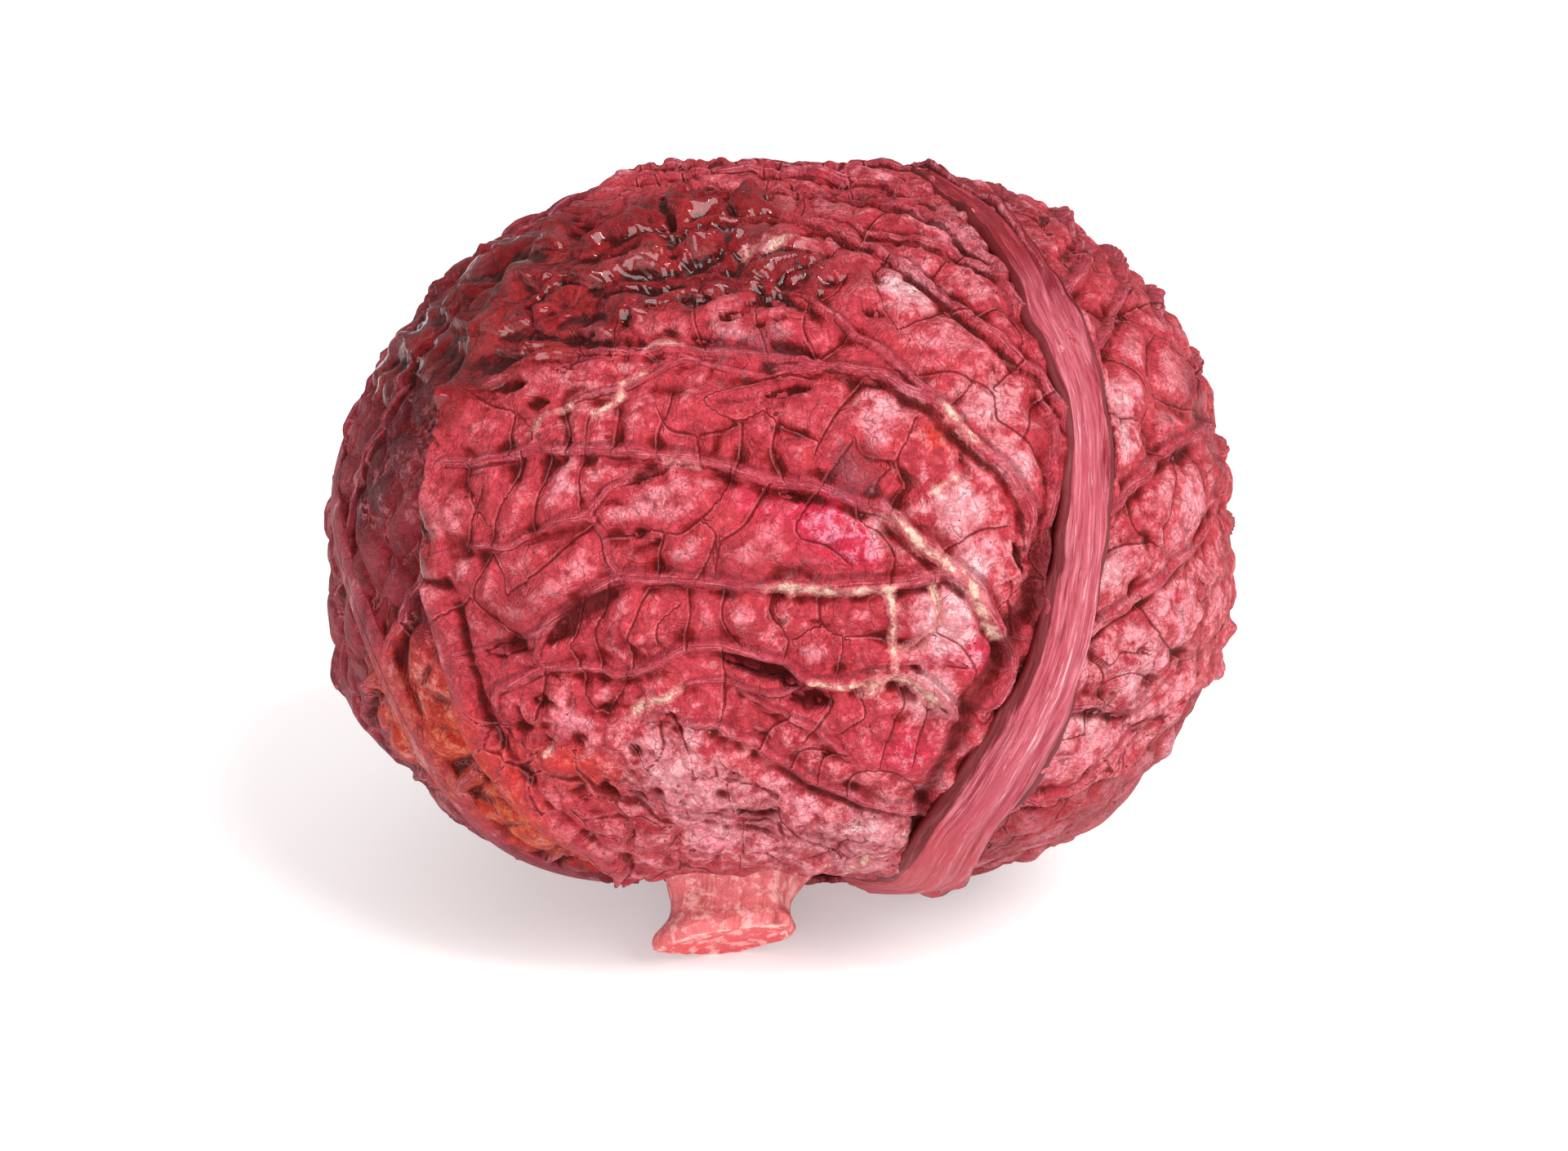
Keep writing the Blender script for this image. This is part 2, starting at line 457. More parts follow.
# Gaps and tears: half width, depth in mm, path
tears = [
    (2.2, 4.5, [(-7.1, 1.3), (-3.7, 0.4), (-0.3, -1.1), (2.7, -2.5)]),
    (1.8, 3.5, [(1.7, -3.8), (4.2, -4.4), (6.3, -4.3)]),
    (1.2, 2.5, [(9, -2.6), (12, -2.2)]),
    (1.6, 3.5, [(-36.8, -0.3), (-33.5, 0.9), (-30.3, 2.1)]),
    (2.6, 4.5, [(-28.4, 2.8), (-26.2, 4.8), (-23.7, 6.7), (-21.1, 8.5)]),
    (1.6, 2.5, [(-20.1, 22.2), (-17.7, 23.6), (-15.5, 24.4)]),
    (1.8, 2.2, [(-19.2, 16.1), (-16.9, 16.7)]),
    (1.6, 1.8, [(-18.5, 14.5), (-15.3, 15.5)]),
    (1.4, 2.2, [(0.4, 21.9), (2.8, 21.5)]),
    (2.2, 3.5, [(29.5, 13.4), (30.3, 10.5)]),
    (1.2, 1.8, [(14.7, 0.7), (17, -0.3)]),
    (1.4, 2.5, [(-10.4, 32.5), (-7.4, 33.4), (-4.8, 33.9)]),
    (1.6, 2.8, [(-2.6, 34.4), (0.9, 35.1), (4.3, 35.7)]),
    (1.8, 4.0, [(-25.4, 46.1), (-18.9, 47.3), (-15.1, 48.6)]),
    (1.4, 2.8, [(-4.8, 45.3), (1.2, 45.8)]),
    (2.2, 2.2, [(-15.5, 42.4), (-10.5, 41.7)]),
    (2.6, 2.6, [(-1.7, 42.3), (2.3, 41.3), (4.6, 40.3)]),
    (1.3, 2.5, [(-47.1, 28.2), (-43.2, 29.2)]),
    (1.4, 2.5, [(-43.3, 30.3), (-39, 31.7)]),
    (1.8, 2.5, [(-37.8, 29.4), (-34.8, 30.8)]),
    (1.6, 2.2, [(-33, -6.4), (-32.6, -10.3)]),
    (1.6, 2.2, [(-30.6, -5.5), (-27.9, -5.6)]),
    (1.6, 2.2, [(-29.5, -9.9), (-28.8, -11.2)]),
    (2.0, 2.4, [(-23.3, -16.4), (-21.6, -17.5)]),
    (1.2, 1.8, [(-17, -11), (-15.8, -11)]),
    (1.6, 2.6, [(-5.6, -20.9), (-3, -21.8), (-1, -20.6), (-0.3, -19.5)]),
    (2.0, 2.6, [(1.4, -4.4), (6.1, -4)]),
    (1.2, 3.0, [(-43.8, 38.3), (-36.3, 39.2), (-32.1, 40.7)]),
    (1.4, 2.5, [(-44.1, 33.7), (-41.5, 35.8), (-39.4, 37.2)]),
    (1.6, 2.2, [(-11.4, 45.5), (-7.8, 46.3)]),
    (1.4, 2.0, [(15.5, 46.8), (18.7, 45.4)]),
    (1.6, 2.5, [(55.6, 51.8), (53.5, 48.2), (51.6, 46.3)]),
    (1.6, 2.0, [(56.4, 65.9), (53.1, 63.3)]),
    (1.5, 1.6, [(-86.1, 75.4), (-43.4, 71.5)]),
]

# Torn cream edges: half width in mm, path
creamEdges = [
    (1.0, [(14.4, 18.5), (17.2, 15), (20.3, 11.9)]),
    (0.8, [(-1.5, 10.3), (4.2, 9.9), (13.2, 9.7)]),
    (0.7, [(13.4, 9.7), (13, 6.8), (13.9, 1.8), (13.9, -0.6)]),
    (0.7, [(3.7, -1.5), (7.4, -1.9), (12.1, -1.4), (13.9, -0.7)]),
    (1.1, [(14.4, -1), (16.4, -2.7), (18.9, -4.7)]),
    (0.7, [(22.4, 31.9), (24.7, 28.7), (26.5, 26.3)]),
    (0.6, [(-34.8, 26.8), (-34, 28.7), (-31.2, 30.7)]),
    (0.6, [(-26.9, 30), (-25.2, 31.4), (-23.8, 33)]),
    (0.6, [(-24.1, 34.1), (-20.9, 36.5)]),
    (0.8, [(10.2, -3.3), (12, -2.3)]),
    (0.7, [(18.5, 9.7), (18.8, 6), (14.4, 2.4)]),
    (0.8, [(-18.3, -5.9), (-15.4, -4.1), (-12.9, -2.7)]),
    (0.6, [(-24.1, 39.5), (-16.6, 40.7)]),
    (0.6, [(-15.6, 25.5), (-11.5, 25)]),
    (0.7, [(21.5, 11.6), (23.7, 7), (26.2, 3.3)]),
    (1.6, [(22.4, -73.4), (11.3, -36.7), (14.8, -30.2)]),
    (0.6, [(18.8, 20.9), (21.1, 22.1), (22.8, 22.4)]),
    (1.2, [(-9, 58.8), (-1.7, 60.6), (6.4, 61.8)]),
    (0.5, [(-29.7, -12.1), (-27.8, -9.6)]),
]

# Places on the leaf by tint: longitude, latitude, spread in degrees, strength
zones = {
    "purple": [
        (-56, 31, 5, 0.8), (-61, 38, 6, 0.8), (-66, 45, 7, 0.7), (-53, 24, 3, 0.6), (-64.4, 20.9, 8.9, 1),
        (-65.1, 12.6, 6.7, 0.8), (-62.5, 32.5, 7.8, 0.9), (-62.8, 43.7, 6.7, 0.7), (-52.8, 8, 5.6, 0.35),
        (-74.2, 58.3, 5.6, 0.45), (57.4, 37.2, 5.6, 0.45), (72.1, 24.3, 5.6, 0.6), (71.1, 15.1, 5, 0.5),
        (46.9, 16.9, 3.3, 0.5), (-31.4, 6.5, 6.7, 0.45), (-40.2, 1.1, 4.4, 0.3), (-19.2, 42.7, 6.7, 0.25),
    ],
    "orange": [
        (-51, -10, 8.5, 1), (-45, -17, 8, 1), (-40, -25, 8, 1), (-56, -17, 8, 0.8), (-36, -34, 8, 0.7),
        (-23.3, -14.8, 5, 0.6), (-30.2, -11.6, 4.4, 0.35), (21.3, 27.9, 3.1, 0.7), (-7.8, -11.3, 6.7, 0.25),
        (-62.7, -11.6, 4.4, 0.35),
    ],
    "rose": [
        (5.3, 18.3, 4.7, 1), (10.4, 15.1, 2.7, 1), (22.7, 1.7, 4.7, 0.9), (-1.8, 21.1, 3.3, 0.4),
        (17.3, -12.2, 5.6, 0.6), (21.9, 11.5, 3.9, 0.4), (-50.1, 27.5, 1.8, 0.9), (-5.4, 20.3, 4.4, 0.3),
        (13.1, -8.1, 4.4, 0.3),
    ],
    "pale": [
        (66, 60, 9, 0.5), (48.7, 53.5, 7, 0.4), (30.3, 30.7, 4.5, 0.6), (18, -3.5, 3.6, 1.1),
        (13.2, 18.2, 3.5, 0.6), (13.3, -23.6, 6, 0.5), (-28.3, 30.4, 7, 0.3), (3, 52.7, 6, 0.25),
        (27.4, 49.1, 6, 0.4), (52, 2, 20, 0.4), (46, -14, 10, 0.3), (-5, -22, 14, 0.36), (-16, -12, 9, 0.3),
        (24, 13, 8, 0.34), (22, 30, 9, 0.25), (8, -30, 10, 0.35), (19.2, 5.5, 4.2, 1), (22, 19.3, 3.1, 0.8),
        (50, 27.2, 2.9, 0.9), (47.8, 22.6, 2.4, 0.8), (31.2, 22.7, 2.7, 0.6), (25.2, 49.7, 3.8, 0.8),
        (23.2, 12.3, 2.2, 0.7), (42.1, 8.6, 2.2, 0.9), (34.9, -11, 2.2, 0.9), (40.4, -10.4, 2, 0.8),
        (14.9, 32.7, 3.6, 0.55), (11.5, 60, 3.1, 0.3), (13.5, -34.9, 3.3, 0.7), (-9.3, -20, 6.7, 0.3),
        (-13.8, -11.4, 5.6, 0.3), (37.5, -2.3, 3.3, 0.3), (0.2, 6.7, 4.4, 0.3), (16.6, -2.4, 2, 0.6),
        (48, -5.6, 3.3, 0.3), (-41.1, 8.7, 2.2, 0.4), (-26.9, 21.4, 4, 0.3), (19.7, -15.3, 4.4, 0.3),
    ],
    "wet": [
        (-66, 40, 12, 0.9), (-60, 55, 12, 0.9), (-90, 42, 16, 0.7), (-48, 46, 7, 0.8), (-40, 60, 10, 0.8),
        (-15, 64, 10, 0.6), (-78, 30, 10, 0.6), (-47.3, 38.2, 6.7, 1), (-37.6, 42.7, 6.7, 1),
        (-26.6, 50.4, 7.8, 1), (-10.9, 55.3, 6.7, 1), (4, 53.9, 5.6, 0.9), (-51, 31.4, 5, 0.9),
        (-49.8, 26.2, 3.3, 0.9), (-24.8, 73.7, 8.9, 0.8), (42.3, 75.4, 6.7, 0.8), (65.9, 65.4, 5.6, 0.5),
        (-47.5, 56.2, 6.7, 0.7), (18.2, 53, 3.3, 0.5), (-46.2, 8.6, 2.4, 0.9), (-46.4, 13.3, 2.4, 0.8),
        (83.2, 52.5, 4.4, 0.6), (59, 22.1, 2.7, 0.6), (-54.5, 47, 6.7, 0.6),
    ],
    "dusty": [
        (-10.6, 42.2, 5.6, 0.8), (0.3, 41.5, 4.4, 0.8), (10.8, 23.4, 4.4, 0.8), (-13.6, 12.2, 4.4, 0.6),
        (-5.7, 12.2, 5.6, 0.7), (4.2, 11.8, 5.6, 0.7), (17.1, 34.7, 5.6, 0.5), (29.4, 36.5, 5.6, 0.5),
        (-26.2, 5.3, 4.4, 0.5), (-3, -20.8, 4.4, 0.9), (8.9, 26, 4.4, 0.6), (-9, 32.1, 4.4, 0.3),
        (-32.1, -10.2, 3.3, 0.5), (18.4, 17.6, 2.2, 0.4),
    ],
}

# Lower margin of the front leaf right of the rib: longitudes and latitudes
lowerMargin = [
    (20, 29.4, 32.9, 38.2, 42.7, 48.2, 52.5, 55, 58.7, 64.5, 75, 90, 110),
    (-27, -23.1, -21.8, -21.1, -18.8, -18.9, -18.3, -14, -11.8, -12.1, -13, -15, -17),
]

# Lumps and dents: longitude, latitude, spread in degrees, rise in 0.7 mm
lumps = [
    (20.2, 5.9, 4.2, 2.2), (22.7, -1.3, 3.3, 1.5), (19.1, -8.4, 3.8, 1.4), (-40.4, 7.9, 2.4, 1),
    (-26.7, 20.4, 4.4, 1), (-37.9, 19.6, 3.3, 0.7), (-13.3, 21.8, 3.8, 0.8), (-1.8, 18.4, 4.4, 0.9),
    (-5.6, 6.6, 4.4, 0.9), (-19.3, 5, 3.8, 0.8), (-49.2, 29.5, 1.8, 1.2), (0.5, 59.4, 2.9, 1.2),
    (16.7, 49.9, 4, 1.2), (27.6, 35.6, 4.4, 1.2), (-10.6, 35.2, 3.8, 0.8), (-26.6, 28.3, 4.4, 0.9),
    (-10.7, -8, 4.9, 1), (2.2, -9, 4, 0.8), (10.3, -12.5, 3.8, 0.8), (-21.1, -20.4, 4.4, 0.6),
    (-8.9, -26.5, 4.4, 0.8),
]

# Side veins of the front leaf's net as in the part's source, with the left margin closer to the photo: rib
# foot, then points to each margin
frontRoutes = [
    ([36, -54], [[22, -50], [6, -44], [-12, -40.5], [-27, -43], [-30, -50]], [[58, -56], [80, -52]]),
    ([28, -33], [[17, -31], [0, -28], [-18, -29], [-27.5, -34]], [[45, -34], [63, -37]]),
    ([26, -19], [[13.6, -18], [0, -15], [-18, -17], [-34, -23]], [[45, -20], [62, -22], [76, -28]]),
    (
        [29, -9],
        [[14, -5.7], [2, -2], [-8.6, 1.5], [-20, -2], [-33, -4.4], [-40.6, -11]],
        [[46, -6], [66, -5], [88, -12]],
    ),
    (
        [34, -1],
        [[27, 4], [19.4, 9.2], [0, 9.2], [-12.8, 10], [-22, 7], [-31.7, 0], [-43.4, -2]],
        [[52, 3], [72, 6], [98, 0]],
    ),
    (
        [37, 4],
        [[28, 9], [18, 12.6], [0, 15.5], [-16, 17], [-28, 15], [-38, 11], [-46.6, 8]],
        [[53, 10], [75, 14], [104, 9]],
    ),
    (
        [39.5, 9],
        [[29, 12], [19.6, 14.6], [13.8, 17.5], [-0.9, 24], [-18, 25.4], [-32.5, 24.2], [-49, 20]],
        [[54, 17], [68, 22], [84, 24], [111, 19]],
    ),
    (
        [42, 15],
        [[33, 19], [27, 26.6], [18.3, 35.2], [5.4, 38.3], [-8, 40.2], [-26.6, 39.9], [-41, 37], [-51, 29.5]],
        [[56, 25], [71, 30.5], [89, 32.5], [116, 27]],
    ),
    (
        [44.5, 21],
        [[36, 25], [26, 31], [18.3, 39.6], [10.7, 46.2], [-5, 52], [-23.4, 53], [-38, 48], [-55, 36.5]],
        [[60, 32], [75, 38], [94, 40], [121, 34]],
    ),
    (
        [48, 29.5],
        [[41.5, 35], [36.4, 44.9], [30, 53.1], [20, 62], [-8.5, 67.5], [-39, 62.8], [-57, 42]],
        [[64, 40], [81, 46], [101, 47], [127, 40]],
    ),
    (
        [54, 43.5],
        [[49, 54], [42, 66], [5, 77], [-50, 73], [-67, 62], [-66, 51]],
        [[72, 49], [92, 54], [116, 54], [138, 47]],
    ),
    (
        [73, 58.5],
        [[76, 69], [88, 80], [-110, 84], [-100, 72], [-88, 62]],
        [[94, 59], [116, 61], [140, 59], [154, 53]],
    ),
    ([108, 67.5], [[128, 73], [168, 79], [-145, 76], [-124, 66]], [[130, 66.5], [150, 66], [167, 61]]),
]


# Curve along a path, as a function of the share of its length
def alongPath(path):
    return lambda share: unit(splineByLength(path, share)[0])


# Curve along an arc of so many degrees, as a function of the share of it
def alongArc(foot, way, reach):
    return lambda share: turned(foot, way, reach * np.asarray(share))


# Rows of the front leaf: a curve to each margin through the picked points, and its length in degrees
def frontRows():
    rows = []
    for rib, left, right in frontRoutes:
        row = {}
        for side, points in (("left", left), ("right", right)):
            path = aim(*np.array([rib, *points], float).T)
            row[side] = alongPath(path), np.degrees(splineByLength(path, [0])[1])
        rows.append(row)
    return rows


# Rows of another leaf: arcs off the midrib at lean = sweep * min(1, 0.3 + 2 q), reach = width * share of
# it, where the share is (foot + (1 - foot) sin(pi min(0.5, 1.3 q))) sqrt(1 - 0.97 q ** 5)
def fanRows(leaf):
    path = aim(*np.array(leaf["midrib"], float).T)
    steps = np.linspace(0, 1, leaf["veins"] + 1)
    rows = []
    for q in steps:
        foot = unit(splineByLength(path, [q])[0][0])
        ends = splineByLength(path, [max(0, q - 0.002), min(1, q + 0.002)])[0]
        ahead = unit(ends[1] - ends[0])
        ahead = unit(ahead - foot * (ahead @ foot))
        aside = np.cross(ahead, foot)
        grown = leaf["foot"] + (1 - leaf["foot"]) * math.sin(math.pi * min(0.5, 1.3 * q))
        wide = grown * (1 - 0.97 * q**5) ** 0.5
        row = {}
        for side, sign, sweep in (("left", -1, leaf["sweep"][0]), ("right", 1, leaf["sweep"][1])):
            lean = math.radians(sweep * min(1, 0.3 + 2 * q))
            way = aside * sign * math.cos(lean) + ahead * math.sin(lean)
            reach = leaf[side] * wide
            row[side] = alongArc(foot, way, reach), reach
        rows.append(row)
    return rows


# Columns of a net: so many from the middle of the midrib at -1.25 to its foot at 0, the rest on to the
# margin at 1
def netColumns(count, onRib):
    rib = np.linspace(-head["ribFoot"], 0, onRib + 1)[:-1]
    return np.concatenate([rib, np.linspace(0, 1, count - onRib)])


# Net of directions on one half of a leaf, at columns x. Rows are spaced evenly along the leaf, and the
# midrib's half width is ribHalf * (1 - 0.62 q ** 0.8).
def halfNet(rows, ribHalf, side, x, rowCount):
    last = len(rows) - 1
    foot = head["ribFoot"]
    stack = []
    for k, row in enumerate(rows):
        curve, reach = row[side]
        edge = min(0.4, foot * ribHalf * (1 - 0.62 * (k / last) ** 0.8) / reach)
        stack.append(curve(np.where(x < 0, edge * (foot + x) / foot, edge + np.maximum(x, 0) * (1 - edge))))
    stack = np.array(stack)
    spans = np.linalg.norm(np.diff(stack, axis=0), axis=-1).mean(1) + 0.02
    length = np.concatenate([[0], np.cumsum(spans)])
    even = np.linspace(0, 1, rowCount) * length[-1]
    q = np.interp(even, length, np.linspace(0, 1, last + 1))
    return {
        "d": clearOfStalk(unit(splineAt(stack, q))),
        "q": np.repeat(q[:, None], len(x), 1),
        "out": np.repeat(np.maximum(x, 0)[None], rowCount, 0),
        "rib": np.repeat(np.where(x < 0, foot + x, 9)[None], rowCount, 0),
    }


# Both halves of a leaf, joined at the middle of the midrib, with a wavy margin: d + 0.035 noise out ** 3
def wholeNet(rows, ribHalf, x, rowCount):
    left = halfNet(rows, ribHalf, "left", x, rowCount)
    right = halfNet(rows, ribHalf, "right", x, rowCount)
    net = {key: np.concatenate([left[key][:, ::-1], right[key][:, 1:]], axis=1) for key in left}
    flat = net["d"].reshape(-1, 3)
    wave = np.stack([rough(flat * ball, 9, 300 + k, 3) for k in range(3)], -1).reshape(net["d"].shape)
    net["d"] = clearOfStalk(unit(net["d"] + 0.035 * wave * net["out"][..., None] ** 3))
    return net


# What lies under the next leaf: the furthest reach so far in each direction, on a square map
mapSize = 340
under = {"reach": np.zeros((mapSize, mapSize)), "smooth": np.zeros((mapSize, mapSize))}


# Place on the map: an octahedron folded flat with -Y in its middle, (x, z) / (|x| + |y| + |z|)
def mapPlace(d):
    total = np.abs(d).sum(-1)
    u, v = d[..., 0] / total, d[..., 2] / total
    back = d[..., 1] > 0
    foldedU = np.where(back, (1 - np.abs(v)) * np.where(u < 0, -1, 1), u)
    foldedV = np.where(back, (1 - np.abs(u)) * np.where(v < 0, -1, 1), v)
    return (foldedU + 1) / 2 * (mapSize - 1.001), (foldedV + 1) / 2 * (mapSize - 1.001)


# Turns each cell of a map into the largest, smallest or mean of the (2 n + 1) ** 2 cells round it
def spreadMap(area, pick, n):
    for axis in (0, 1):
        area = pick([np.roll(area, k, axis) for k in range(-n, n + 1)], axis=0)
    return area


# Keeps the largest reach per map cell, then the largest of 5 x 5 cells, then their mean over 3 x 3
def lay(d, reach):
    u, v = mapPlace(d.reshape(-1, 3))
    np.maximum.at(under["reach"], (np.round(u).astype(int), np.round(v).astype(int)), reach.ravel())
    under["smooth"] = spreadMap(spreadMap(under["reach"], np.max, 2), np.mean, 1)


# Bilinear value of that map along directions
def laidReach(d):
    u, v = mapPlace(d)
    i, j = np.floor(u).astype(int), np.floor(v).astype(int)
    f, g = u - i, v - j
    m = under["smooth"]
    first, second = (m[i, j + k] * (1 - f) + m[i + 1, j + k] * f for k in (0, 1))
    return first * (1 - g) + second * g


# Map of the directions that a leaf covers, 1 well inside its margin and 0 outside: its cells grown by one,
# shrunk by five and averaged over 5 x 5
def coverMap(d):
    u, v = mapPlace(d.reshape(-1, 3))
    area = np.zeros((mapSize, mapSize))
    area[np.round(u).astype(int), np.round(v).astype(int)] = 1
    return spreadMap(spreadMap(spreadMap(area, np.max, 1), np.min, 5), np.mean, 2)


# Value of a cover map along directions
def coverAt(area, d):
    u, v = mapPlace(d)
    return area[np.round(u).astype(int), np.round(v).astype(int)]


# Mean over a square of 2 n + 1 grid points, edges repeated
def softened(grid, n):
    for axis in (0, 1):
        padded = np.pad(grid, [(n, n) if k == axis else (0, 0) for k in (0, 1)], mode="edge")
        total = np.cumsum(padded, axis=axis)
        total = np.concatenate([np.zeros_like(np.take(total, [0], axis)), total], axis=axis)
        size = grid.shape[axis]
        upper = np.take(total, np.arange(2 * n + 1, size + 2 * n + 1), axis)
        lower = np.take(total, np.arange(0, size), axis)
        grid = (upper - lower) / (2 * n + 1)
    return grid


# Mesh piece from points in mm, faces, colour attributes and a UV map in metres
def addPiece(name, points, faces, tints, material, node, uv=None):
    mesh = bpy.data.meshes.new(name)
    mesh.vertices.add(len(points))
    mesh.vertices.foreach_set("co", ((points + centre) / 1000).astype(np.float32).ravel())
    count = len(faces)
    mesh.loops.add(count * 3)
    mesh.loops.foreach_set("vertex_index", faces.astype(np.int32).ravel())
    mesh.polygons.add(count)
    mesh.polygons.foreach_set("loop_start", np.arange(0, count * 3, 3, dtype=np.int32))
    mesh.polygons.foreach_set("use_smooth", np.ones(count, bool))
    if uv is not None:
        layer = mesh.uv_layers.new(name="fibres")
        layer.data.foreach_set("uv", (uv[faces.ravel()] / 1000).astype(np.float32).ravel())
    for key, values in tints.items():
        layer = mesh.attributes.new(key, "FLOAT_COLOR", "POINT")
        layer.data.foreach_set("color", np.clip(values, 0, 1).astype(np.float32).ravel())
    mesh.update(calc_edges=True)
    mesh.validate()
    mesh.materials.append(material)
    piece = bpy.data.objects.new(name, mesh)
    bpy.context.scene.collection.objects.link(piece)
    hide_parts(node)
    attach(piece, "root")
    print(name, len(points), "points", count, "faces")
    return piece


# Two triangles for each cell of a grid of point numbers
def gridFaces(number):
    a, b, c, e = number[:-1, :-1], number[:-1, 1:], number[1:, 1:], number[1:, :-1]
    return np.concatenate([np.stack([a, b, c], -1).reshape(-1, 3), np.stack([a, c, e], -1).reshape(-1, 3)])


# Closed tube: its rings of point numbers, and a fan round one more point at each end
def tubeFaces(number):
    start, end = number[0], number[-1]
    first, last = (np.full(len(start), number.size + k) for k in (0, 1))
    fans = [np.stack([first, np.roll(start, -1), start], -1), np.stack([last, end, np.roll(end, -1)], -1)]
    return np.concatenate([gridFaces(np.concatenate([number, number[:, :1]], axis=1)), *fans])


# Every point of a grid, then every fourth along both ways
def fineThenCoarse(grid):
    size = grid.shape[-1]
    return np.concatenate([grid.reshape(-1, size), grid[::4, ::4].reshape(-1, size)])


# Closed blade: a fine outer grid, every fourth point of an inner grid, and a strip between their rims
def addBlade(name, d, outer, inner, tints, material, node, uv=None):
    rows, columns = outer.shape
    coarse = (d * inner[..., None])[::4, ::4]
    points = np.concatenate([(d * outer[..., None]).reshape(-1, 3), coarse.reshape(-1, 3)])
    number = np.arange(rows * columns).reshape(rows, columns)
    below = rows * columns + np.arange(coarse.size // 3).reshape(coarse.shape[:2])
    top, bottom = gridFaces(number), gridFaces(below)[:, [0, 2, 1]]
    rim = np.concatenate([number[0, :-1], number[:-1, -1], number[-1, :0:-1], number[:0:-1, 0]])
    hem = np.concatenate([below[0, :-1], below[:-1, -1], below[-1, :0:-1], below[:0:-1, 0]])
    o = [np.roll(rim, -k)[::4] for k in range(5)]
    i0, i1 = hem, np.roll(hem, -1)
    strip = ((o[0], i0, o[1]), (o[1], i0, o[2]), (i0, i1, o[2]), (o[2], i1, o[3]), (o[3], i1, o[4]))
    faces = np.concatenate([top, bottom, *(np.stack(corners, -1) for corners in strip)])
    first = top[(rows // 2) * (columns - 1) + columns // 2]
    facing = np.cross(points[first[1]] - points[first[0]], points[first[2]] - points[first[0]])
    if facing @ points[first[0]] < 0:
        faces = faces[:, ::-1]
    tints = {key: fineThenCoarse(value) for key, value in tints.items()}
    uv = None if uv is None else fineThenCoarse(uv)
    return addPiece(name, points, faces, tints, material, node, uv)


# New material: itself, its node tree and its shader
def newMaterial(name):
    material = bpy.data.materials.new(name)
    material.use_nodes = True
    return material, material.node_tree, material.node_tree.nodes["Principled BSDF"]


# Adds a shader node. Inputs, by name or number, are values or sockets
def put(tree, kind, inputs=None, **settings):
    node = tree.nodes.new("ShaderNode" + kind)
    for key, value in settings.items():
        setattr(node, key, value)
    for key, value in (inputs or {}).items():
        socket = node.inputs[key]
        if isinstance(value, bpy.types.NodeSocket):
            tree.links.new(value, socket)
        else:
            socket.default_value = value
    return node


# Base colour: the two of a look mixed by a ground noise, and its tones laid over them one by one. A tone is
# (hex, mask, noise, how far the noise moves the mask, low, high, strength) and covers strength *
# smoothstep(low, high, mask + amount * (noise - 0.5)).
def layTones(tree, look, ground, masks, noises):
    base = {0: ground, 6: fromHex(look["base"][0]), 7: fromHex(look["base"][1])}
    colour = put(tree, "Mix", base, data_type="RGBA").outputs[2]
    for tone, mask, noise, amount, low, high, strength in look["tones"]:
        moved = put(tree, "Math", {0: noises[noise], 1: amount, 2: masks[mask]}, operation="MULTIPLY_ADD")
        ends = {"Value": moved.outputs[0], 1: low + amount / 2, 2: high + amount / 2, 4: strength}
        cover = put(tree, "MapRange", ends, interpolation_type="SMOOTHSTEP")
        layer = {0: cover.outputs[0], 6: colour, 7: fromHex(tone)}
        colour = put(tree, "Mix", layer, data_type="RGBA").outputs[2]
    return colour


# Bands beside the veins, cut out of a signed distance: name, channel, middle, inner and outer half width,
# channel of the plain distance. Fine lines span 3 mm, side veins six half widths, both from 0 to 1.
bands = [
    ("line", 0, 0.5, 0.035, 0.1, 1),
    ("lip", 0, 0.64, 0.03, 0.12, 1),
    ("under", 2, 0.3, 0.02, 0.1, 3),
    ("body", 2, 0.5, 0.1, 0.2, 3),
    ("ledge", 2, 0.76, 0.05, 0.17, 3),
]


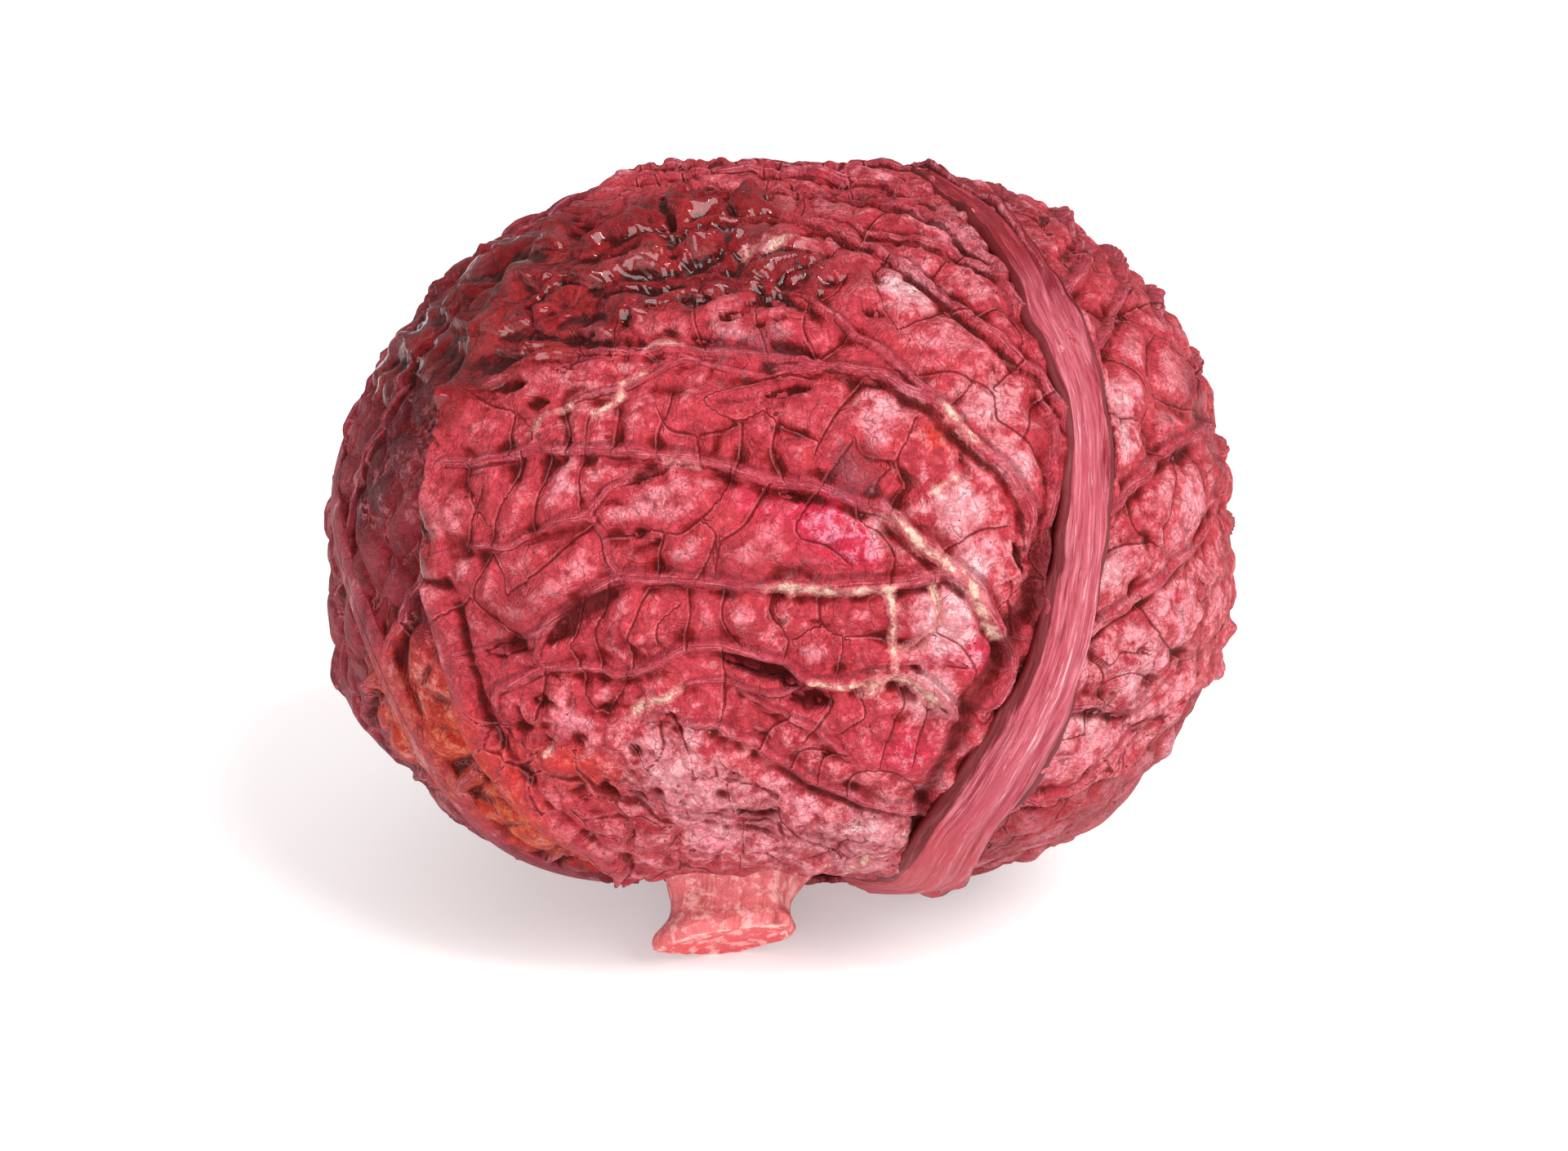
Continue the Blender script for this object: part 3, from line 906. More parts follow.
# Leaf blade: waxy living tissue, which gives the eye a stack of soft-edged tones, each laid by a mask that
# noise breaks up, and a wet film in places
def leafMaterial(name, look):
    material, tree, shader = newMaterial(name)
    place = put(tree, "TexCoord").outputs["Object"]
    masks = {}
    channels = {}
    for attribute, names in (
        ("relief", ("ridge", "torn", "hollow", "crest")),
        ("tint", ("purple", "orange", "rose", "pale")),
        ("state", ("wet", "dusty", "cream", "deep")),
        ("lines", (0, 1, 2, 3)),
    ):
        node = put(tree, "Attribute", attribute_name=attribute)
        parts = put(tree, "SeparateColor", {0: node.outputs["Color"]})
        found = [*parts.outputs[:3], node.outputs["Alpha"]]
        (channels if attribute == "lines" else masks).update(zip(names, found))
    noises = {}
    for key, size, detail in (("broad", 26, 3), ("blotch", 9, 5), ("mottle", 3.2, 6), ("grain", 1.2, 4)):
        # scale is one over the size of a patch in metres
        patch = {"Vector": place, "Scale": 1000 / size, "Detail": detail, "Roughness": 0.7}
        noises[key] = put(tree, "TexNoise", patch).outputs[0]
    # streaks that follow the side veins: noise fine across them, by their distance channel, and 8 to 17 mm
    # long along them
    parts = put(tree, "SeparateXYZ", {0: place})
    run = put(tree, "Math", {0: parts.outputs[0], 1: parts.outputs[1]}, operation="SUBTRACT")
    spot = {"X": channels[2], "Y": run.outputs[0], "Z": parts.outputs[2]}
    spot = put(tree, "CombineXYZ", spot).outputs[0]
    lane = put(tree, "Mapping", {"Vector": spot, "Scale": (26, 120, 60)}).outputs[0]
    streak = {"Vector": lane, "Scale": 1.0, "Detail": 5.0, "Roughness": 0.7}
    noises["streaks"] = put(tree, "TexNoise", streak).outputs[0]
    wander = look["bandWander"]
    for band, channel, middle, inner, outer, plain in bands:
        moved = {0: noises["mottle"], 1: wander, 2: channels[channel]}
        moved = put(tree, "Math", moved, operation="MULTIPLY_ADD").outputs[0]
        off = put(tree, "Math", {0: moved, 1: middle + wander / 2}, operation="SUBTRACT").outputs[0]
        far = put(tree, "Math", {0: off}, operation="ABSOLUTE").outputs[0]
        inside = put(tree, "MapRange", {"Value": far, 1: inner, 2: outer, 3: 1.0, 4: 0.0}).outputs[0]
        gate = put(tree, "MapRange", {"Value": channels[plain], 1: 0.8, 2: 0.95, 3: 1.0, 4: 0.0}).outputs[0]
        masks[band] = put(tree, "Math", {0: inside, 1: gate}, operation="MULTIPLY").outputs[0]
    # veinlets: edges of bent cells of 3.4 mm and 1.5 mm, and pits in the middle of a few cells of 4.2 mm
    bent = put(tree, "TexNoise", {"Vector": place, "Scale": 1000 / 4, "Detail": 3.0}).outputs["Color"]
    shifted = {0: bent, 1: (0.003,) * 3, 2: place}
    shifted = put(tree, "VectorMath", shifted, operation="MULTIPLY_ADD").outputs[0]
    for key, size, wide in (("veinlet", 3.4, 0.07), ("fine", 1.5, 0.12)):
        net = {"Vector": shifted, "Scale": 1000 / size}
        edge = put(tree, "TexVoronoi", net, feature="DISTANCE_TO_EDGE").outputs[0]
        masks[key] = put(tree, "MapRange", {"Value": edge, 1: 0.0, 2: wide, 3: 1.0, 4: 0.0}).outputs[0]
    spread = put(tree, "TexVoronoi", {"Vector": shifted, "Scale": 1000 / 4.2}).outputs["Distance"]
    masks["pit"] = put(tree, "MapRange", {"Value": spread, 1: 0.1, 2: 0.26, 3: 1.0, 4: 0.0}).outputs[0]
    # wrinkles: lines where a bent noise crosses its mean, some 9 mm and 4 mm apart
    for key, size, wide in (("wrinkle", 9, 0.022), ("crackle", 4, 0.03)):
        wave = {"Vector": place, "Scale": 1000 / size, "Detail": 4.0, "Roughness": 0.6, "Distortion": 0.8}
        wave = put(tree, "TexNoise", wave).outputs[0]
        off = put(tree, "Math", {0: wave, 1: 0.5}, operation="SUBTRACT").outputs[0]
        far = put(tree, "Math", {0: off}, operation="ABSOLUTE").outputs[0]
        masks[key] = put(tree, "MapRange", {"Value": far, 1: 0.0, 2: wide, 3: 1.0, 4: 0.0}).outputs[0]
    # specks: dots in cells of 1.5 mm, each as strong as its cell's random number
    dots = put(tree, "TexVoronoi", {"Vector": place, "Scale": 1000 / 1.5}).outputs
    dot = put(tree, "MapRange", {"Value": dots["Distance"], 1: 0.12, 2: 0.3, 3: 1.0, 4: 0.0}).outputs[0]
    number = put(tree, "SeparateColor", {0: dots["Color"]}).outputs[0]
    masks["speck"] = put(tree, "Math", {0: dot, 1: number}, operation="MULTIPLY").outputs[0]
    low = {0: masks["wet"], 1: masks["hollow"]}
    masks["sump"] = put(tree, "Math", low, operation="MULTIPLY").outputs[0]
    masks["all"] = noises["broad"]
    masks["fleck"] = noises["mottle"]
    colour = layTones(tree, look, noises["broad"], masks, noises)
    # pigment gathers in the grain: the colour times a grey that fine noise moves
    low, high = look["speckle"]
    for key in ("grain", "mottle"):
        shade = put(tree, "MapRange", {"Value": noises[key], 1: 0.36, 2: 0.64, 3: low, 4: high}).outputs[0]
        grey = put(tree, "CombineColor", {0: shade, 1: shade, 2: shade}).outputs[0]
        both = {0: 1.0, 6: colour, 7: grey}
        colour = put(tree, "Mix", both, data_type="RGBA", blend_type="MULTIPLY").outputs[2]
    tree.links.new(colour, shader.inputs["Base Color"])
    # wet film: smoother and coated where the wet mask and its noise are high
    breakUp = look["wetBreak"]
    moved = {0: noises["mottle"], 1: breakUp, 2: masks["wet"]}
    moved = put(tree, "Math", moved, operation="MULTIPLY_ADD").outputs[0]
    film = {"Value": moved, 1: 0.35 + breakUp / 2, 2: 0.8 + breakUp / 2}
    film = put(tree, "MapRange", film, interpolation_type="SMOOTHSTEP").outputs[0]
    smooth, dull = look["roughness"]
    gloss = put(tree, "MapRange", {"Value": noises["mottle"], 1: 0.35, 2: 0.65, 3: smooth, 4: dull})
    finish = put(tree, "MapRange", {"Value": film, 3: gloss.outputs[0], 4: look["wetRoughness"]})
    tree.links.new(finish.outputs[0], shader.inputs["Roughness"])
    coat = put(tree, "MapRange", {"Value": film, 3: look["coat"], 4: look["wetCoat"]})
    tree.links.new(coat.outputs[0], shader.inputs["Coat Weight"])
    shader.inputs["Coat Roughness"].default_value = 0.03  # water
    shader.inputs["Coat IOR"].default_value = 1.33
    shader.inputs["IOR"].default_value = 1.4
    shader.inputs["Specular IOR Level"].default_value = 0.3
    shader.inputs["Subsurface Weight"].default_value = look["glow"]
    shader.inputs["Subsurface Radius"].default_value = (0.002, 0.0006, 0.0005)
    shader.inputs["Subsurface Scale"].default_value = 1.0
    # relief finer than the mesh: wrinkles of 3 mm down to grain, then what each mask adds or takes away
    height = {"Vector": place, "Scale": 1000 / 3, "Detail": 8.0, "Roughness": 0.7}
    height = put(tree, "TexNoise", height).outputs[0]
    for mask, amount in look["relief"]:
        height = {0: masks[mask], 1: amount, 2: height}
        height = put(tree, "Math", height, operation="MULTIPLY_ADD").outputs[0]
    bump = put(tree, "Bump", {"Height": height, "Strength": look["bump"], "Distance": 0.005})
    tree.links.new(bump.outputs[0], shader.inputs["Normal"])
    return material


# Outer leaves: crimson, waxy leaf skin, rosy in the middle of each panel, dark in the creases, with dark
# wet folds at the upper left. Later tones lie on the earlier ones.
frontLook = {
    "base": ("#C43F49", "#D2505A"),
    "roughness": (0.42, 0.62),
    "coat": 0.0,
    "wetBreak": 1.6,  # how far noise moves the edge of the wet film
    "wetRoughness": 0.2,
    "wetCoat": 0.95,
    "bandWander": 0.12,  # how far noise moves the bands beside the veins
    "glow": 0.03,
    "bump": 0.75,
    "relief": [
        ("veinlet", -0.14),
        ("fine", -0.06),
        ("pit", -0.12),
        ("wrinkle", -0.2),
        ("crackle", -0.1),
        ("speck", -0.06),
        ("line", -0.35),
        ("lip", 0.12),
        ("torn", -0.4),
    ],
    "speckle": (0.8, 1.2),
    "tones": [
        ("#9E2831", "all", "blotch", 1.8, 0.45, 0.8, 0.75),
        ("#DE5E68", "fleck", "blotch", 1.2, 0.47, 0.75, 0.7),
        ("#E67A84", "crest", "mottle", 2.6, 0.25, 0.75, 0.8),
        ("#F595A2", "crest", "mottle", 3.4, 0.65, 1.1, 0.85),
        ("#FDBCC8", "crest", "grain", 3.4, 1.05, 1.45, 0.85),
        ("#98222E", "fleck", "grain", 2.6, 0.8, 1.15, 0.6),
        ("#5E1C2A", "purple", "mottle", 1.8, 0.25, 0.85, 0.85),
        ("#DE4230", "orange", "mottle", 1.6, 0.2, 0.7, 0.85),
        ("#F4804E", "orange", "mottle", 3.4, 0.8, 1.3, 0.8),
        ("#DC2C52", "rose", "mottle", 2.2, 0.25, 0.8, 0.65),
        ("#F69AB4", "rose", "mottle", 3.4, 0.75, 1.2, 0.7),
        ("#F4A2AA", "pale", "mottle", 2.8, 0.15, 0.8, 0.8),
        ("#FCE0E2", "pale", "mottle", 4.0, 0.75, 1.4, 0.75),
        ("#9A2630", "veinlet", "mottle", 2.4, 0.5, 1.2, 0.55),
        ("#A83440", "fine", "mottle", 2.4, 0.6, 1.3, 0.4),
        ("#8A1E26", "wrinkle", "mottle", 3.0, 0.6, 1.3, 0.7),
        ("#F3A0AA", "crackle", "blotch", 3.4, 0.8, 1.5, 0.45),
        ("#741820", "pit", "blotch", 3.0, 1.0, 1.5, 0.85),
        ("#66141A", "speck", "blotch", 2.0, 0.7, 1.1, 0.8),
        ("#BA4A58", "body", "streaks", 2.4, 0.4, 1.0, 0.55),
        ("#7A2832", "body", "streaks", -5.0, 1.1, 1.7, 0.65),
        ("#E8A2AA", "body", "streaks", 5.0, 1.1, 1.7, 0.6),
        ("#7C3440", "ledge", "mottle", 2.4, 0.5, 1.1, 0.6),
        ("#8A1A20", "hollow", "mottle", 1.6, 0.1, 0.55, 0.85),
        ("#560E12", "hollow", "mottle", 1.6, 0.45, 0.85, 0.85),
        ("#5E1216", "under", "blotch", 3.4, 0.6, 1.2, 0.8),
        ("#EA8088", "lip", "mottle", 2.0, 0.6, 1.2, 0.35),
        ("#74181E", "line", "mottle", 2.0, 0.25, 0.9, 0.8),
        ("#5E1216", "torn", "mottle", 0.9, 0.3, 0.9, 0.85),
        ("#744048", "dusty", "mottle", 2.4, 0.5, 1.2, 0.65),
        ("#86201F", "wet", "mottle", 2.6, 0.3, 0.9, 0.8),
        ("#4A0E12", "wet", "mottle", 3.8, 0.95, 1.5, 0.7),
        ("#B83E40", "wet", "blotch", -3.4, 0.9, 1.4, 0.55),
        ("#440C10", "sump", "mottle", 1.4, 0.1, 0.5, 0.85),
        ("#F6E4DE", "dusty", "grain", 3.4, 1.6, 1.85, 0.85),
        ("#DC7F80", "cream", "mottle", 2.4, 0.3, 0.7, 0.8),
        ("#EFC4AE", "cream", "mottle", 2.8, 0.75, 1.1, 0.9),
        ("#FFF3E6", "cream", "grain", 2.8, 1.2, 1.5, 0.9),
        ("#641820", "deep", "mottle", 1.2, 0.3, 0.9, 0.75),
    ],
}

# Left leaf: a darker red under the same tones
darkLook = dict(frontLook, base=("#94303A", "#AC3C46"), roughness=(0.4, 0.56))
darkLook["tones"] = [
    ("#621C26", "all", "blotch", 2.0, 0.45, 0.8, 0.7),
    ("#C45462", "crest", "mottle", 2.8, 0.7, 1.2, 0.6),
    *[tone for tone in frontLook["tones"] if tone[1] not in ("all", "fleck", "crest")],
]

# Side and back leaves: a duller red. Inner leaves: a darker one.
sideLook = dict(frontLook, base=("#BE444C", "#CE5359"))
innerLook = dict(frontLook, base=("#A83440", "#B8404A"))

bladeFront = leafMaterial("crimson_leaf_blade", frontLook)
bladeDark = leafMaterial("purple_leaf_blade", darkLook)
bladeSide = leafMaterial("rose_leaf_blade", sideLook)
bladeInner = leafMaterial("inner_leaf_blade", innerLook)


# Fibrous stem tissue of midrib and stalk, which gives the eye long streaks of lighter and darker fibres,
# and on the cut face a mottled middle with a pale rind
def stemMaterial(name, look):
    material, tree, shader = newMaterial(name)
    place = put(tree, "TexCoord").outputs["Object"]
    fibres = put(tree, "UVMap", uv_map="fibres").outputs[0]
    noises = {}
    # fibres of 0.6 by 12 mm, bands of 2.2 by 36 mm
    for key, wide, long, detail in (("streaks", 0.6, 12, 5), ("bands", 2.2, 36, 3)):
        stretched = {"Vector": fibres, "Scale": (1000 / wide, 1000 / long, 1)}
        stretched = put(tree, "Mapping", stretched).outputs[0]
        patch = {"Vector": stretched, "Scale": 1.0, "Detail": detail, "Roughness": 0.65}
        noises[key] = put(tree, "TexNoise", patch).outputs[0]
    for key, size in (("blotch", 8), ("mottle", 2.5)):
        patch = {"Vector": place, "Scale": 1000 / size, "Detail": 5.0, "Roughness": 0.65}
        noises[key] = put(tree, "TexNoise", patch).outputs[0]
    node = put(tree, "Attribute", attribute_name="relief")
    parts = put(tree, "SeparateColor", {0: node.outputs["Color"]})
    masks = dict(zip(("top", "low", "hollow", "crest"), [*parts.outputs[:3], node.outputs["Alpha"]]))
    masks["all"] = noises["bands"]
    masks["fleck"] = noises["blotch"]
    colour = layTones(tree, look, noises["bands"], masks, noises)
    tree.links.new(colour, shader.inputs["Base Color"])
    smooth, dull = look["roughness"]
    gloss = put(tree, "MapRange", {"Value": noises["streaks"], 1: 0.3, 2: 0.7, 3: smooth, 4: dull})
    tree.links.new(gloss.outputs[0], shader.inputs["Roughness"])
    shader.inputs["IOR"].default_value = 1.4
    shader.inputs["Specular IOR Level"].default_value = 0.35
    shader.inputs["Coat Weight"].default_value = look["coat"]
    shader.inputs["Subsurface Weight"].default_value = 0.06
    shader.inputs["Subsurface Radius"].default_value = (0.003, 0.001, 0.0008)
    shader.inputs["Subsurface Scale"].default_value = 1.0
    bump = put(tree, "Bump", {"Height": noises[look["bump"]], "Strength": 0.7, "Distance": 0.0014})
    tree.links.new(bump.outputs[0], shader.inputs["Normal"])
    return material


# Midrib: pink fibres with pale crests, darker towards the top of the head
ribTissue = stemMaterial("fibrous_midrib", {
    "base": ("#A03C48", "#B85E6A"),
    "roughness": (0.4, 0.58),
    "coat": 0.05,
    "bump": "streaks",
    "tones": [
        ("#8A2C38", "all", "streaks", 3.4, 0.5, 0.9, 0.75),
        ("#D0848E", "all", "streaks", -3.4, 0.5, 1.0, 0.55),
        ("#F4BCC2", "crest", "streaks", 4.6, 0.75, 1.35, 0.65),
        ("#7E2430", "fleck", "bands", 3.4, 0.65, 1.1, 0.7),
        ("#BC4048", "low", "blotch", 1.2, 0.3, 1.0, 0.6),
        ("#7E2029", "top", "bands", 1.6, 0.2, 0.8, 0.8),
        ("#C05058", "top", "streaks", 4.0, 0.9, 1.4, 0.6),
        ("#5E1418", "hollow", "streaks", 1.4, 0.25, 0.7, 0.85),
    ],
})

# Stalk: salmon pink, blotched, with a rim of paler rind round the cut
stalkTissue = stemMaterial("cut_stalk_tissue", {
    "base": ("#D86264", "#E88084"),
    "roughness": (0.45, 0.65),
    "coat": 0.04,
    "bump": "mottle",
    "tones": [
        ("#C04844", "all", "streaks", 3.0, 0.5, 0.9, 0.6),
        ("#FCB8B4", "fleck", "mottle", 2.4, 0.45, 0.8, 0.7),
        ("#DC5558", "top", "blotch", 1.6, 0.3, 0.7, 0.7),
        ("#F9B2B0", "top", "mottle", 3.4, 0.9, 1.3, 0.8),
        ("#F4CDBE", "crest", "mottle", 3.0, 0.45, 1.1, 0.7),
        ("#7C2422", "hollow", "mottle", 0.6, 0.35, 0.9, 0.75),
    ],
})
print("materials")


# Profile of the picked side veins
veinShape = {
    "width": 0.84,  # of the picked half width
    "taper": 0.42,  # how much of it the tip loses
    "uneven": 0.22,  # how far it wanders
    "height": 0.66,  # of the picked height
    "fall": 0.5,  # how much of it the tip loses
    "gapDepth": 0.55,  # of the height
    "under": (1.0, 0.8, 0.85),  # gap under a vein: strength, width and distance from its side
    "over": (0.3, 1.7, 1.9),  # gap over it
}


# Side veins: ridge height * exp(-(distance / width) ** 3), with a narrow gap under it and a shallow one over
# it, both broken here and there. Also the distance in mm to the nearest vein's side, and the signed
# distance to the nearest vein in units of three half widths.
def veinField(p, veins):
    rise = np.zeros(len(p))
    dip = np.zeros(len(p))
    near = np.full(len(p), 30.0)
    signed = np.ones(len(p))
    uneven = 1 + veinShape["uneven"] * rough(p, 6, 91, 2)
    broken = 0.35 + 0.65 * ease(rough(p, 16, 93, 2), -0.3, 0.5)
    for width, height, path in veins:
        dist, along, above, _ = nearPath(p, path, 9)
        w = veinShape["width"] * width * (1 - veinShape["taper"] * along) * uneven
        knobs = 1 + 0.1 * np.sin(along * 31 + height * 9)
        h = veinShape["height"] * height * (1 - veinShape["fall"] * along) * knobs
        fade = ease(along, 0, 0.03) * ease(1 - along, 0, 0.04) if height > 1.5 else 1.0
        rise = np.maximum(rise, h * fade * np.exp(-((dist / w) ** 3)))
        over, beneath = (
            strength * bell(dist - w, wide, middle)
            for strength, wide, middle in (veinShape["over"], veinShape["under"])
        )
        gap = np.where(above > 0, over, beneath)
        dip = np.maximum(dip, fade * h * veinShape["gapDepth"] * gap * broken)
        near = np.minimum(near, np.maximum(dist - w, 0))
        span = dist / (3 * w)
        signed = np.where(span < np.abs(signed), np.clip(span, 0, 1) * above, signed)
    return rise, dip, near, signed


# Fine veins: line and crease are bells of 0.5 and 0.95 mm, weaker at both ends. Also the signed distance.
def threadField(p, threads):
    line = np.zeros(len(p))
    crease = np.zeros(len(p))
    signed = np.full(len(p), 30.0)
    for path in threads:
        dist, along, _, hand = nearPath(p, path, 6)
        fade = ease(along, 0, 0.08) * ease(1 - along, 0, 0.08) * 0.6 + 0.4
        line = np.maximum(line, fade * bell(dist, 0.5))
        crease = np.maximum(crease, fade * bell(dist, 0.95))
        signed = np.where(dist < np.abs(signed), dist * hand, signed)
    return line, crease, signed


# Gaps and tears: depth * bell(distance, width) at 0.75 of the picked depth and 0.8 of the picked width,
# thinner at both ends and ragged
def tearField(p, cuts):
    depth = np.zeros(len(p))
    ragged = np.clip(1 + 0.6 * rough(p, 3, 95, 2), 0.3, 1.8)
    for width, deep, path in cuts:
        dist, along = nearPath(p, path, 6)[:2]
        w = 0.8 * width * (0.35 + 0.65 * np.sin(np.pi * np.clip(along, 0, 1))) * ragged
        depth = np.maximum(depth, 0.75 * deep * bell(dist, w))
    return depth


# Distances as attribute channels: fine lines span -1.5 to 1.5 mm, side veins -1 to 1, each signed round 0.5
# and then plain
def lineChannels(thread, vein):
    thread = thread / 1.5
    return np.stack([
        channel
        for signed in (thread, vein)
        for channel in (0.5 + 0.5 * np.clip(signed, -1, 1), np.clip(np.abs(signed), 0, 1))
    ], -1)


# Relief masks: hollow is how far the leaf lies below its own mean over some 4 mm and 12 mm, crest is the
# middle of a panel, away from every vein
def reliefMasks(height, ridge, torn, near, lively):
    shape = height.shape
    low = softened(height, 5) - height
    lowWide = softened(height, 14) - height
    hollow = np.clip(0.75 * low / 1.1 + 0.3 * lowWide / 1.8 - 0.1, 0, 1)
    crest = ease(near, 0.5, 3.4).reshape(shape) * (0.55 + 0.5 * lively.reshape(shape))
    crest = crest - 0.35 * np.clip(lowWide, 0, 2)
    return np.stack([ridge.reshape(shape), torn.reshape(shape), hollow, np.clip(crest, 0, 1)], -1)


# The four tints of a leaf at directions, from the spots of its zones
def tintSpots(flat):
    return np.stack([spots(flat, zones[key]) for key in ("purple", "orange", "rose", "pale")], -1)


# Noise of a height and a size in mm
def waves(p, shape, seed, octaves):
    height, size = shape
    return height * rough(p, size, seed, octaves)


# Swell of a height between veins, lost towards them within a width: height * (0.5 - bell(distance, width))
def panels(distance, shape):
    height, width = shape
    return height * (0.5 - bell(distance, width))


# Rows of a leaf as veins: mm between rows at each point, from the net's rows and their places q
def rowSpacing(net, last):
    along = np.linalg.norm(np.gradient(net["d"] * ball, axis=0), axis=-1).ravel()
    return along / np.maximum(np.abs(np.gradient(net["q"], axis=0)).ravel() * last, 1e-6)


# Front leaf: the wrapper that shows most. Its relief is picked from the photo on the left and in front and
# grown by rule behind. Pairs are height and size in mm.
front = {
    "rows": 353,
    "columns": (265, 157),  # from the midrib's middle to the left and to the right margin
    "onRib": 8,  # columns of them under the midrib
    "ribHalf": 4.6,  # degrees
    "base": -1.5,  # blade against the smooth skin
    "undulation": (1.0, 24),
    "pillow": (1.5, 5),  # panels swell between side veins
    "cushion": (0.8, 3),  # and between fine veins
    "dent": (0.9, 9),
    "wrinkle": (0.6, 4.5),
    "creases": ((0.75, 9, 51), (0.4, 4.2, 55)),  # sharp ones: depth, distance apart and seed
    "pits": [(-22, -8, 9, 1), (-12, -14, 9, 0.8), (-30, -14, 8, 0.8), (-4, -18, 6, 0.4)],  # where cells dent
    "crumple": 2.3,  # folds along the side veins, upper left
    "grain": (0.45, 2.2),  # on the folds
    "grown": (2.2, 1.3),  # height and half width of a side vein behind
    "cells": 9,  # mm across, between fine veins behind
    "groove": 2.2,  # along the midrib's foot
    "step": 2.8,  # down to the next leaf at the lower right margin
}
rowsFront = frontRows()
frontNets = {}
for side, columns in zip(("left", "right"), front["columns"]):
    places = netColumns(columns, front["onRib"])
    frontNets[side] = halfNet(rowsFront, front["ribHalf"], side, places, front["rows"])


# Folds along the side veins, upper left: 0.9 - 2.4 |noise of 5.6 mm| + 0.6 noise of 2.6 mm, drawn out four
# times along them
def folds(p):
    rising = p[:, 2] - 0.35 * p[:, 0] * (p[:, 0] < 0)
    tilted = np.stack([p[:, 0], p[:, 1], rising], -1) * np.array([0.26, 0.26, 1.0])
    return 0.9 - np.abs(rough(tilted, 5.6, 21, 3)) * 2.4 + 0.6 * rough(tilted, 2.6, 23, 2)


# Left margin: below the middle of the head it rolls outwards as a half tube with a gap beside it, and a
# groove runs along the midrib's foot. The height in mm and the groove's mask.
def leftMargin(height, p, lat, out, fromRim):
    rolls = ease(-lat, -8, -2) * ease(lat, -46, -38)
    roll = np.clip(1 - fromRim / 6.3, 0, 1) * rolls
    tube = -1.6 + 2.4 * np.sqrt(np.clip(1 - (1.5 * roll - 0.75) ** 2, 0, 1)) + 0.2 * rough(p, 6, 33, 2)
    share = ease(roll, 0.02, 0.3)
    height = height * (1 - share) + share * tube - 0.8 * bell(fromRim, 0.7, 6.6) * rolls
    groove = bell(out, 0.028, 0.028) * ease(lat, -34, -24) * (1 - ease(lat, 12, 22))
    return height - front["groove"] * groove, groove


# Lower right margin: below it the leaf has torn off and the next one shows, a step down past a lip, with
# a dark gap. The height in mm and the gap's mask.
def lowerRightMargin(height, p, lon, lat):
    edgeLat = np.interp(lon, *lowerMargin) + 1.2 * rough(p, 7, 65, 2)
    beneath = np.radians(edgeLat - lat) * ball
    height = height + 0.8 * bell(beneath, 1.4, -1.4) - front["step"] * ease(beneath, 0, 1.1)
    gap = 1.1 * bell(beneath, 1.5, 1.8) * ease(lon, 28, 34) * (1 - ease(lon, 44, 50))
    return height, np.maximum(gap, 0.5 * ease(beneath, 0, 3) * ease(lon, 26, 34))


